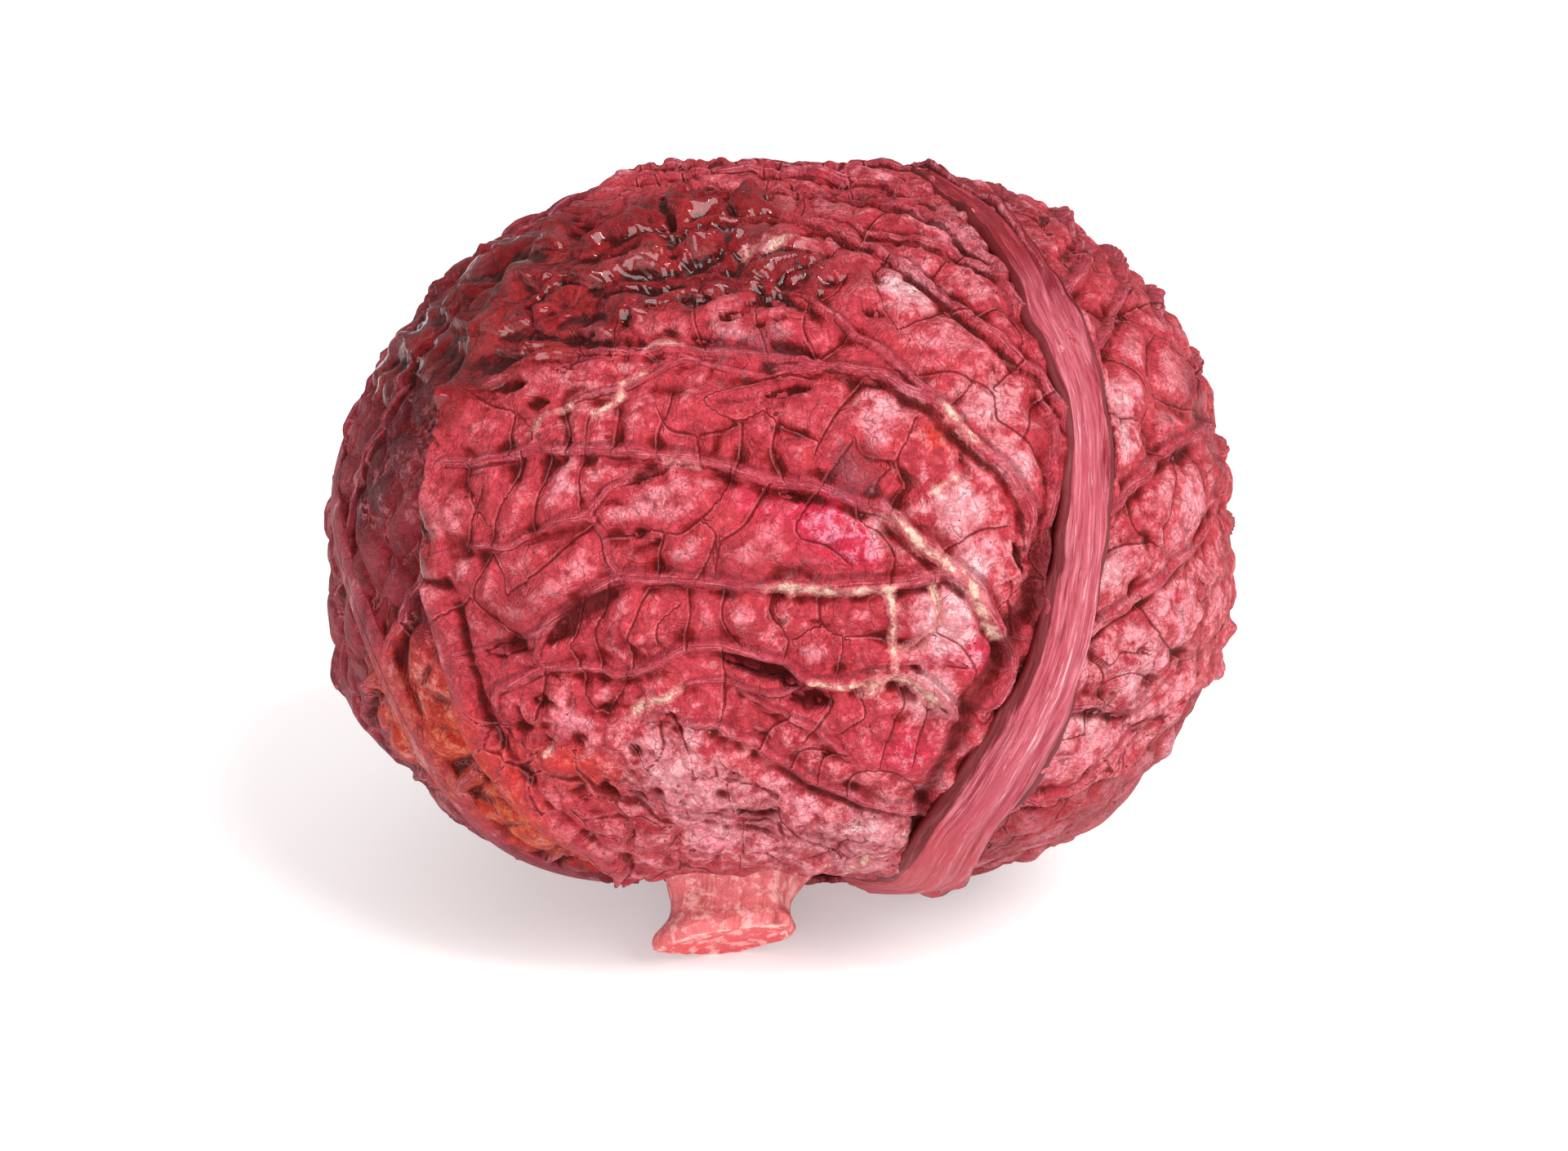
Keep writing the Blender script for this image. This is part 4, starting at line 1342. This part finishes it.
# One half of the front leaf: skin + base + noises + panels + lumps + ridges - gaps - tears, laid over what
# lies under it
def frontHalf(side, name, veins, threads):
    net = frontNets[side]
    d = net["d"]
    shape = d.shape[:2]
    flat = d.reshape(-1, 3)
    p = flat * ball
    warp = p + 0.5 * np.stack([rough(p, 7, 40 + k, 2) for k in range(3)], -1)
    lon = np.degrees(np.arctan2(flat[:, 0], -flat[:, 1]))
    lat = np.degrees(np.arcsin(flat[:, 2]))
    rise, dip, nearVein, vein = veinField(warp, veins)
    line, crease, thread = threadField(warp, threads)
    torn = tearField(warp, tears)
    # beyond the photo's view, veins grown by rule: the rows of the net, and the edges of cells between them
    away = np.maximum(ease(lon, 64, 84), ease(lat + 0.12 * np.abs(lon), 72, 82))
    missing = 14 * (1 - away)  # mm added to the distance of a grown vein, so that it comes in gently
    last = len(rowsFront) - 1
    q = net["q"].ravel()
    out = net["out"].ravel()
    offRow = (q * last - np.round(q * last)) * rowSpacing(net, last)
    far = np.abs(offRow)
    bent = p + 1.2 * np.stack([rough(p, 9, 50 + k, 2) for k in range(3)], -1)
    nearest, second, _ = cells(bent, front["cells"], 5)
    edge = second - nearest
    high, half = front["grown"]
    rise = np.maximum(rise, high * np.exp(-((far / half) ** 2.6)) * away)
    line = np.maximum(line, bell(edge, 0.5) * away)
    crease = np.maximum(crease, bell(edge, 1.1) * away)
    nearVein = np.minimum(nearVein, np.maximum(far - half, 0) + missing)
    span = 3 * half
    vein = np.where((far + missing) / span < np.abs(vein), np.clip(offRow / span, -1, 1), vein)
    thread = np.where(edge + missing < np.abs(thread), edge, thread)
    nearThread = np.abs(thread)
    near = np.minimum(nearVein, nearThread)

    wet = np.clip(spots(flat, zones["wet"]), 0, 1)
    height = front["base"] + waves(p, front["undulation"], 1, 2)
    height += panels(nearVein, front["pillow"]) + panels(nearThread, front["cushion"])
    height += waves(warp, front["dent"], 7, 2) + waves(warp, front["wrinkle"], 3, 3)
    for depth, size, seed in front["creases"]:
        kept = ease(rough(p, 15, seed + 2, 2), -0.35, 0.5)
        height -= depth * bell(rough(warp, size, seed, 2), 0.14) * kept
    middle, second, number = cells(warp, 4.6, 11)
    dents = 0.6 * bell(second - middle, 0.8) - 1.3 * bell(middle, 1.6) * (number > 0.4)
    height += np.clip(spots(flat, front["pits"]), 0, 1) * dents
    crumpled = 0.1 + 0.9 * wet
    height += front["crumple"] * crumpled * folds(p) * np.clip(near / 1.5, 0.2, 1)
    height += crumpled * waves(p, front["grain"], 31, 2)
    height += spots(flat, lumps) * 0.7
    height += rise - dip + (0.22 * line - 0.65 * crease) * (1 - 0.6 * away) - torn
    if side == "left":
        between = np.linalg.norm(np.gradient(d * ball, axis=1), axis=-1).ravel()  # mm between columns
        fromRim = (1 - out) * between * (shape[1] - 1 - front["onRib"])
        height, groove = leftMargin(height, p, lat, out, fromRim)
    else:
        height, groove = lowerRightMargin(height, p, lon, lat)
    height += 1.3 * out**6 * rough(p, 12, 61, 2)
    own = skin(d) + height.reshape(shape)
    outer = np.minimum(np.maximum(own, laidReach(d) + head["gap"] + head["blade"]), floorReach(d))
    inner = np.minimum(outer - head["blade"], floorReach(d, 0.4) - 0.2)
    lay(d, outer)
    ridge = np.clip(rise / 1.3, 0, 1)
    masks = reliefMasks(outer - skin(d), ridge, np.clip(torn / 2.4, 0, 1), near, rough(p, 13, 77, 3))
    cream = np.zeros(len(flat))
    for width, path in creamEdges:
        cream = np.maximum(cream, bell(nearPath(warp, path, 6)[0], 1.5 * width))
    state = np.stack([wet, spots(flat, zones["dusty"]), cream, groove], -1)
    tints = {
        "relief": masks,
        "tint": tintSpots(flat).reshape(*shape, 4),
        "state": state.reshape(*shape, 4),
        "lines": lineChannels(thread, vein).reshape(*shape, 4),
    }
    return addBlade(name, d, outer, inner, tints, bladeFront, "front_leaf")


# The other leaves: side veins on the rows of their nets, cells between them, the same relief. Where other
# leaves cover one, it is smooth and sinks to its covered depth. Width to the left and right of the midrib
# and the sweep of its veins are in degrees, depth and lift above the floor in mm.
fans = [
    {
        "name": "crown", "slot": "inner_wrapper", "material": bladeInner, "rows": 169, "columns": 73,
        "midrib": [(70, -62), (105, -45), (122, -18), (140, 10), (158, 36), (-178, 60), (-125, 76)],
        "veins": 8, "left": 64, "right": 62, "foot": 0.3, "sweep": (32, 32),
        "depth": 9.2, "covered": 10.7, "lift": 5.6, "ribScale": 0.6,
    },
    {
        "name": "back_left", "slot": "inner_wrapper", "material": bladeInner, "rows": 169, "columns": 73,
        "midrib": [(-60, -69), (-92, -62), (-113, -42), (-125, -20), (-132, 5), (-138, 28), (-146, 50)],
        "veins": 7, "left": 58, "right": 56, "foot": 0.2, "sweep": (30, 30),
        "depth": 6.2, "covered": 9, "lift": 3.9, "ribScale": 0.6,
    },
    {
        "name": "right", "slot": "side_wrapper", "material": bladeSide, "rows": 229, "columns": 97,
        "midrib": [(12, -67), (52, -62), (80, -46), (99, -26), (111, -3), (120, 20), (131, 42)],
        "veins": 7, "left": 56, "right": 50, "foot": 0.22, "sweep": (30, 30),
        "depth": 4.4, "covered": 7.3, "lift": 2.2, "ribScale": 0.6,
    },
    {
        "name": "left", "slot": "dark_wrapper", "material": bladeDark, "rows": 269, "columns": 113,
        "midrib": [
            (-41, -58), (-49, -42), (-50, -25), (-55, -11), (-64, 0), (-78, 8), (-97, 14), (-118, 20),
            (-139, 28),
        ],
        "veins": 8, "left": 27, "right": 60, "foot": 0.12, "sweep": (-8, 30),
        "depth": 3.4, "covered": 5.6, "lift": 2.2, "ribScale": 0.24,
    },
    {
        "name": "back", "slot": "side_wrapper", "material": bladeSide, "rows": 229, "columns": 105,
        "midrib": [
            (-14, -70), (-8, -82), (168, -80), (170, -60), (173, -36), (176, -10), (178, 18), (179, 44),
        ],
        "veins": 9, "left": 54, "right": 54, "foot": 0.25, "sweep": (30, 30),
        "depth": 0, "covered": 3.4, "lift": 0, "ribScale": 0.6,
    },
]

# What these leaves share, pairs in mm as for the front leaf
fanCut = {
    "onRib": 16,  # columns of half a midrib
    "ribHalf": 3.2,  # degrees
    "ribHeight": 6.4,
    "ribBase": -1.0,  # blade under the midrib against the smooth skin
    "base": -1.5,
    "undulation": (1.0, 24),
    "pillow": (1.4, 4.5),
    "cushion": (0.9, 3),
    "wrinkle": (0.5, 5),
    "veinHeight": 2.2,
    "veinHalf": (1.5, 0.7),  # half width at the midrib, and how much of it the margin loses
    "cells": 10,
    "crumple": 1.84,  # folds of the left leaf
}
for leaf in fans:
    places = netColumns(leaf["columns"], fanCut["onRib"])
    leaf["net"] = wholeNet(fanRows(leaf), fanCut["ribHalf"], places, leaf["rows"])
covers = [coverMap(leaf["net"]["d"]) for leaf in fans]
covers.append(np.maximum(*(coverMap(frontNets[side]["d"]) for side in ("left", "right"))))
print("nets of directions")


# One of these leaves: skin - depth + base + noises + panels + ridges - creases, and height (1 - 0.75
# q ** 0.8) (1 - (rib / 1.25) ** 3) on the midrib, laid over what lies under it
def fanLeaf(leaf, order):
    seed = 100 * (order + 1)
    net = leaf["net"]
    d = net["d"]
    shape = d.shape[:2]
    flat = d.reshape(-1, 3)
    p = flat * ball
    q, out, rib = (net[key].ravel() for key in ("q", "out", "rib"))
    cover = np.max([coverAt(area, flat) for area in covers[order + 1 :]], axis=0)
    warp = p + 1.2 * np.stack([rough(p, 10, 40 + seed + k, 2) for k in range(3)], -1)
    bend = 0.22 * rough(p, 26, 7 + seed, 2) * np.clip(out * 4, 0, 1)
    last = leaf["veins"]
    place = q * last + bend
    offRow = (place - np.round(place)) * rowSpacing(net, last)
    far = np.abs(offRow)
    half, lost = fanCut["veinHalf"]
    width = half - lost * out
    rise = fanCut["veinHeight"] * (1 - 0.5 * out) * np.exp(-((far / width) ** 2.4))
    nearest, second, _ = cells(warp, fanCut["cells"], 3 + seed)
    edge = second - nearest
    near = np.minimum(np.maximum(far - width, 0), edge)
    foot = head["ribFoot"]
    onRib = rib <= foot
    wet = np.clip(rough(p, 30, 81 + seed, 2), 0, 1) * 0.6
    height = fanCut["base"] + waves(p, fanCut["undulation"], 1 + seed, 2)
    height += panels(np.maximum(far - 1.2, 0), fanCut["pillow"]) + panels(edge, fanCut["cushion"])
    height += waves(warp, fanCut["wrinkle"], 31 + seed, 3)
    beneath = np.where(offRow < 0, bell(far - width, 0.9, 0.9), 0)
    height += rise - 0.9 * beneath + 0.4 * bell(edge, 0.5) - 0.8 * bell(edge, 1.0)
    height += 1.5 * out**6 * rough(p, 11, 61 + seed, 2)
    if leaf["name"] == "left":  # it shares the wet folds of the front leaf beside it
        wet = np.maximum(wet, np.clip(spots(flat, zones["wet"]), 0, 1))
        height += fanCut["crumple"] * wet * folds(p)
    bar = np.clip(1 - (np.minimum(rib, foot) / foot) ** 3, 0, 1)
    ribHeight = fanCut["ribHeight"] * leaf["ribScale"]
    ribRise = np.where(onRib, ribHeight * (1 - 0.75 * q**0.8) * bar, 0)
    own = np.where(onRib, fanCut["ribBase"], height)
    own = (own - leaf["depth"]) * (1 - cover) + (0.12 * own - leaf["covered"]) * cover
    bare = np.maximum(skin(d) + own.reshape(shape), laidReach(d) + head["gap"] + head["blade"])
    outer = bare + (ribRise * (1 - 0.9 * cover)).reshape(shape)
    outer = np.minimum(outer, floorReach(d, leaf["lift"]))
    inner = np.minimum(np.minimum(bare, outer) - head["blade"], floorReach(d, leaf["lift"] + 0.4) - 0.2)
    lay(d, outer)
    ridge = np.clip(np.maximum(rise / 1.2, onRib * 1.0), 0, 1)
    untorn = np.zeros(len(flat))
    lively = rough(p, 13, 77 + seed, 3)
    masks = reliefMasks(outer - skin(d), ridge, untorn, np.where(onRib, 0, near), lively)
    tint = tintSpots(flat)
    tint[:, 0] += 0.5 * np.clip(rough(p, 24, 71 + seed, 2), 0, 1)
    tint[:, 3] += 0.35 * np.clip(rough(p, 17, 75 + seed, 2), 0, 1)
    dusty = np.clip(rough(p, 15, 85 + seed, 2), 0, 1) * 0.5
    cream = 0.8 * bell(1 - out, 0.012) * (rough(p, 5, 90 + seed, 2) > 0)  # a torn margin here and there
    vein = np.where(onRib, 0.0, np.clip(offRow / (3 * width), -1, 1))
    tints = {
        "relief": masks,
        "tint": tint.reshape(*shape, 4),
        "state": np.stack([wet, dusty, cream, untorn], -1).reshape(*shape, 4),
        "lines": lineChannels(np.where(onRib, 2, edge), vein).reshape(*shape, 4),
    }
    name = leaf["name"]
    return addBlade(name + "_blade", d, outer, inner, tints, leaf["material"], name + "_leaf")


# Heart: inner leaves packed into a ball, a step down at the edge of each. Depth is under the smooth skin.
heart = {"around": 192, "up": 120, "depth": 12.5, "step": 1.6, "turns": 3}


# Reach: skin - depth - step * (turns * turn + 1.4 height, fraction of) * sin(pi height) + noise
def addHeart():
    around, up = heart["around"], heart["up"]
    lon = np.linspace(0, 360, around, endpoint=False)
    lat = np.linspace(-90, 90, up + 1)[1:-1]
    grid = aim(lon[None], lat[:, None])
    turn, high = lon[None] / 360, (lat[:, None] + 90) / 180
    flat = np.concatenate([grid.reshape(-1, 3), aim(0, -90)[None], aim(0, 90)[None]])
    spiral = (turn * heart["turns"] + high * 1.4 + 0.03 * rough(grid * ball, 18, 5, 2)) % 1
    drop = np.concatenate([(spiral * np.sin(np.pi * high)).ravel(), [0, 0]])
    reach = skin(flat) - heart["depth"] - heart["step"] * drop + 0.4 * rough(flat * ball, 12, 9, 3) - 0.4
    faces = tubeFaces(np.arange(len(lat) * around).reshape(len(lat), around))
    hollow = np.clip(drop * 1.3 - 0.4, 0, 1)
    zero = np.zeros(len(flat))
    tints = {
        "relief": np.stack([zero, zero, hollow, 0.5 - 0.4 * drop], -1),
        "tint": np.stack([zero, zero, zero, np.clip(rough(flat * ball, 20, 3, 2), 0, 1)], -1),
        "state": np.zeros((len(flat), 4)),
        "lines": np.ones((len(flat), 4)),
    }
    lay(flat, reach)
    return addPiece("heart_leaves", flat * reach[:, None], faces, tints, bladeInner, "heart")


# Stalk: collar, neck and flared cut end, in mm from the middle of the head
stalk = {
    "root": (-9, -38.7, -51),
    "cut": (-10.6, -53.2, -69),
    "slant": 0.22,  # of the cut
    "sides": 96,
    "rings": 64,
    "faceRings": 14,  # on the cut
    "fuzz": 0.5,
    "profile": [  # share of the length, half width, half depth
        (0, 16, 15), (0.16, 16.4, 15), (0.34, 16, 13.6), (0.5, 13.6, 11),
        (0.66, 12, 9.4), (0.8, 12.2, 9.2), (0.93, 14.2, 10), (1, 13.4, 9.2),
    ],
}


# Rings along root to cut, leaning with slant * share ** 2: half width * scar * cos and half depth * scar *
# sin of the angle a round it, where scar holds the ridges of old leaf scars, 5 and 3 round it, and fibres
def addStalk():
    sides = stalk["sides"]
    root, cut = np.array(stalk["root"]), np.array(stalk["cut"])
    along = (cut - root) / np.linalg.norm(cut - root)
    aside = unit(np.array([1, 0, 0]) - along * along[0])
    across = np.cross(along, aside)
    share = np.linspace(0, 1, stalk["rings"])
    table = np.array(stalk["profile"])
    half, deep = (np.interp(share, table[:, 0], table[:, k]) for k in (1, 2))
    kernel = np.ones(5) / 5
    half, deep = (np.convolve(np.pad(v, 2, mode="edge"), kernel, mode="valid") for v in (half, deep))
    a = np.linspace(0, 2 * np.pi, sides, endpoint=False)[None]
    s = share[:, None]
    scar = 1 + 0.07 * np.sin(5 * a + 4 * s) - 0.07 * np.cos(3 * a + 0.6)
    scar = scar + 0.015 * np.sin(23 * a + 9 * s) * (1 - s**8)
    u = half[:, None] * scar * np.cos(a)
    v = deep[:, None] * scar * np.sin(a)
    spine = root + (cut - root) * share[:, None, None]
    points = spine - along * (stalk["slant"] * s**2 * half[:, None] * np.cos(a))[..., None]
    points = points + aside * u[..., None] + across * v[..., None]
    fuzz = rough(points.reshape(-1, 3) * np.array([1, 1, 0.6]), 4, 3, 3).reshape(u.shape)
    points = points + unit(points - spine) * (stalk["fuzz"] * fuzz)[..., None]
    # cut face: rings towards the middle, a raised rind, a shallow dish
    inward = np.linspace(1, 0, stalk["faceRings"] + 1)[1:]
    edge = points[-1]
    middle = edge.mean(0)
    r = inward[:-1, None]
    dish = 0.5 * bell(r, 0.06, 0.88) - 0.35 * (1 - r) + 0.12 * np.sin(a * 17) * r
    face = middle + (edge - middle) * r[..., None] + along * dish[..., None]
    grid = np.concatenate([points, face])
    grid[..., 2] = np.maximum(grid[..., 2], 0.02 - centre[2])
    rows = len(grid)
    flat = np.concatenate([grid.reshape(-1, 3), root[None], (middle - 0.3 * along)[None]])
    faces = tubeFaces(np.arange(rows * sides).reshape(rows, sides))
    onFace = np.repeat(np.arange(rows) >= len(points), sides) * 1.0
    radius = np.repeat(np.concatenate([np.full(len(points), 1.1), inward[:-1]]), sides)
    rind = bell(radius, 0.07, 0.93) * onFace
    hollow = np.concatenate([np.clip(-fuzz * 0.8, 0, 1), np.zeros(face.shape[:2])]).ravel()
    ends = np.zeros(2)  # values at the two end points
    tints = {"relief": np.stack([
        np.concatenate([onFace, [0, 1]]),
        np.zeros(len(flat)),
        np.concatenate([hollow, ends]),
        np.concatenate([rind, ends]),
    ], -1)}
    # fibres run along the stalk: 13 mm round it per radian, 0.36 mm per ring
    uv = np.stack([
        np.concatenate([np.tile(a[0] * 13, rows), ends]),
        np.concatenate([np.repeat(np.arange(rows) * 0.36, sides), ends]),
    ], -1)
    collar = grid[: len(points)][share < 0.45].reshape(-1, 3)
    lay(unit(collar), np.linalg.norm(collar, axis=1))
    return addPiece("stalk_flesh", flat, faces, tints, stalkTissue, "stalk", uv)


# Midrib of the front leaf: a thick fibrous bar with a flat top and ridges along it, between two edges
# picked from the photo in degrees
midrib = {
    "rows": 417,
    "columns": 57,
    "height": 4.4,
    "taper": 0.6,  # how much of the height its tip loses
    "sink": 2.2,  # its base against the smooth skin
    "thickness": 1.4,
    "ridges": 0.5,
    "strands": 0.45,
    "left": [
        (17, -56), (19, -50), (20, -44), (19.8, -37), (19.6, -30.5), (20.2, -24.1), (21.9, -19.4),
        (23.6, -15.5), (25, -12.3), (26.7, -9.5), (27.8, -7.1), (29.6, -4.5), (30.9, -1.9), (32.2, 1.6),
        (33, 5.1), (33.9, 8.5), (35, 10.7), (35.6, 13.4), (36.6, 16.7), (37.8, 20.8), (39.9, 24.9),
        (41.1, 28), (42.2, 32.6), (43.2, 36.5), (44.3, 40.4), (47.1, 44.5), (50.4, 47.6), (53.6, 50.8),
        (57, 54), (63, 58.5), (72, 63), (86, 67.5), (108, 69.5),
    ],
    "right": [
        (32, -54), (32.5, -48), (32.5, -42), (31.5, -37), (30.5, -33.5), (29.5, -26.8), (29.6, -22.9),
        (30.9, -19.8), (32.3, -16.5), (33.4, -13.4), (34.7, -10.6), (35.9, -7.8), (36.5, -5.1),
        (37.2, -2.4), (38.1, 0.6), (38.9, 4.1), (39.5, 7.5), (40.2, 10.8), (41.2, 14.6), (42.2, 17.8),
        (43.8, 21.9), (45.3, 26.2), (47.3, 30.2), (49, 34.9), (50.1, 37.8), (51.8, 41.2), (55, 44.3),
        (58.5, 48), (64, 52.2), (70, 55.5), (77, 59), (90, 64), (108, 66),
    ],
}


# Height over the base: bar * (4.4 (1 - 0.6 q ** 0.9) + ridges + strands) for w from -1 to 1 between the
# edges, with bar = (1 - |w / 1.2| ** 2.6) ** 0.8. Its skirt laps over the blade beside it.
def addMidrib():
    shares = np.linspace(0, 1, midrib["rows"])
    left, right = (
        unit(splineByLength(aim(*np.array(midrib[side], float).T), shares)[0]) for side in ("left", "right")
    )
    w = np.linspace(-1.22, 1.22, midrib["columns"])[None]
    mix = (w[..., None] + 1) / 2
    d = unit(left[:, None] * (1 - mix) + right[:, None] * mix)
    q = np.repeat(shares[:, None], midrib["columns"], 1)
    w = w + 0 * q
    p = d * ball
    size = np.linalg.norm(right - left, axis=1)[:, None] * ball / 2  # half width in mm
    middle = p[:, midrib["columns"] // 2]
    steps = np.linalg.norm(np.diff(middle, axis=0, prepend=middle[:1]), axis=-1)
    along = np.cumsum(steps)[:, None] + 0 * q
    zero = 0 * q
    lane = w * size + 0.8 * rough(np.stack([along * 0.05, zero, zero + 3.0], -1), 1, 5, 2)
    ridges = rough(np.stack([lane, along * 0.05, zero], -1), 1.4, 15, 3)
    broad = rough(np.stack([lane * 0.4, along * 0.03, zero + 7], -1), 1.5, 25, 2)
    bar = np.clip(1 - np.abs(w / 1.2) ** 2.6, 0, 1) ** 0.8
    # three strands that wander, with grooves between them
    wander = 0.9 * rough(np.stack([along * 0.03, zero, zero + 9], -1), 1, 35, 2)
    strands = np.cos(np.pi * (2.5 * w + wander))
    grow = midrib["height"] * (1 - midrib["taper"] * q**0.9) * (1 + 0.07 * rough(p, 25, 17, 2))
    height = bar * (grow + midrib["ridges"] * (ridges + broad) + midrib["strands"] * strands)
    base = skin(d) - midrib["sink"]
    bare = base + height
    skirt = ease(np.abs(w), 0.7, 0.95) * np.where(w > 0, 1, ease(q, 0.4, 0.55))
    lapped = np.maximum(bare, laidReach(d) - 0.1)
    outer = np.minimum(bare + (lapped - bare) * skirt, floorReach(d))
    inner = np.minimum(base - midrib["thickness"], outer - 0.5)
    low = softened(height, 3) - height
    hollow = np.clip(low * 1.6 + ease(np.abs(w), 0.86, 1.05) * 0.8, 0, 1)
    foot = 1 - ease(q, 0.12, 0.36)
    top = ease(q, 0.66, 0.84)
    crest = np.clip(0.4 + ridges * 0.4 + 0.25 * strands - ease(np.abs(w), 0.6, 1.0) * 0.6, 0, 1)
    tints = {"relief": np.stack([top, foot, hollow, crest * (1 - 0.8 * top)], -1)}
    uv = np.stack([w * size, along], -1)
    lay(d, outer)
    return addBlade("midrib", d, outer, inner, tints, ribTissue, "front_leaf", uv)


addHeart()
addStalk()
for order, leaf in enumerate(fans):
    fanLeaf(leaf, order)
frontHalf("left", "front_blade_left", leftVeins, leftThreads)
frontHalf("right", "front_blade_right", rightVeins, rightThreads)
addMidrib()

# Floor, light and camera, in metres and watts
stage = {
    "camera": {"elevation": 17, "distance": 0.75, "lens": 82.14, "shift": (0.001, -0.031)},
    "target": (0, 0, 0.0765),
    "key": {"place": (0.98, -0.8, 1.22), "size": 1.05, "power": 34},
    "fill": {"place": (-0.1, -1.5, 0.25), "size": 0.8, "power": 18},
    "spark": {"place": (0.45, -1.0, 1.5), "size": 0.2, "power": 5},
    "world": {"strength": 0.9, "mirrored": 0.2},
    "floor": {"half": 30, "base": (0.68, 0.675, 0.675, 1), "glow": (1, 0.91, 0.92, 1), "strength": 0.38},
}

half = stage["floor"]["half"]
floorMesh = bpy.data.meshes.new("floor")
corners = [(-half, -half, 0), (half, -half, 0), (half, half, 0), (-half, half, 0)]
floorMesh.from_pydata(corners, [], [(0, 1, 2, 3)])
floorMesh.update()
floorPiece = bpy.data.objects.new("floor", floorMesh)
bpy.context.scene.collection.objects.link(floorPiece)
# matt white paper, so that the shadow is soft. It glows a little, as a lit backdrop does, which keeps the
# shadow pale.
paper, _, paperShader = newMaterial("white_paper_floor")
paperShader.inputs["Base Color"].default_value = stage["floor"]["base"]
paperShader.inputs["Roughness"].default_value = 0.9
paperShader.inputs["Emission Color"].default_value = stage["floor"]["glow"]
paperShader.inputs["Emission Strength"].default_value = stage["floor"]["strength"]
floorMesh.materials.append(paper)

world = bpy.data.worlds.new("studio")
bpy.context.scene.world = world
world.use_nodes = True
background = world.node_tree.nodes["Background"]
background.inputs["Color"].default_value = (1, 0.99, 0.99, 1)
# the room shows darker in gloss than it lights: its white is far off, so that wet leaf keeps its depth
ray = put(world.node_tree, "LightPath").outputs["Is Glossy Ray"]
ends = {"Value": ray, 3: stage["world"]["strength"], 4: stage["world"]["mirrored"]}
strength = put(world.node_tree, "MapRange", ends).outputs[0]
world.node_tree.links.new(strength, background.inputs["Strength"])

target = np.array(stage["target"])
for name in ("key", "fill", "spark"):
    lamp = bpy.data.lights.new(name, "AREA")
    lamp.size = stage[name]["size"]
    lamp.energy = stage[name]["power"]
    light = bpy.data.objects.new(name, lamp)
    place = np.array(stage[name]["place"])
    way = target - place
    light.location = place
    turn = math.atan2(way[1], way[0]) - math.pi / 2
    light.rotation_euler = (math.acos(-way[2] / np.linalg.norm(way)), 0, turn)
    bpy.context.scene.collection.objects.link(light)

view = stage["camera"]
lens = bpy.data.cameras.new("photo_camera")
lens.lens = view["lens"]
lens.sensor_width = 36
lens.shift_x, lens.shift_y = view["shift"]
lens.clip_start = 0.02
camera = bpy.data.objects.new("photo_camera", lens)
tilt = math.radians(view["elevation"])
camera.location = (0, -view["distance"] * math.cos(tilt), target[2] + view["distance"] * math.sin(tilt))
camera.rotation_euler = (math.pi / 2 - tilt, 0, 0)
bpy.context.scene.collection.objects.link(camera)
bpy.context.scene.camera = camera
bpy.context.scene.view_settings.view_transform = "Standard"
print("stage, light and camera")
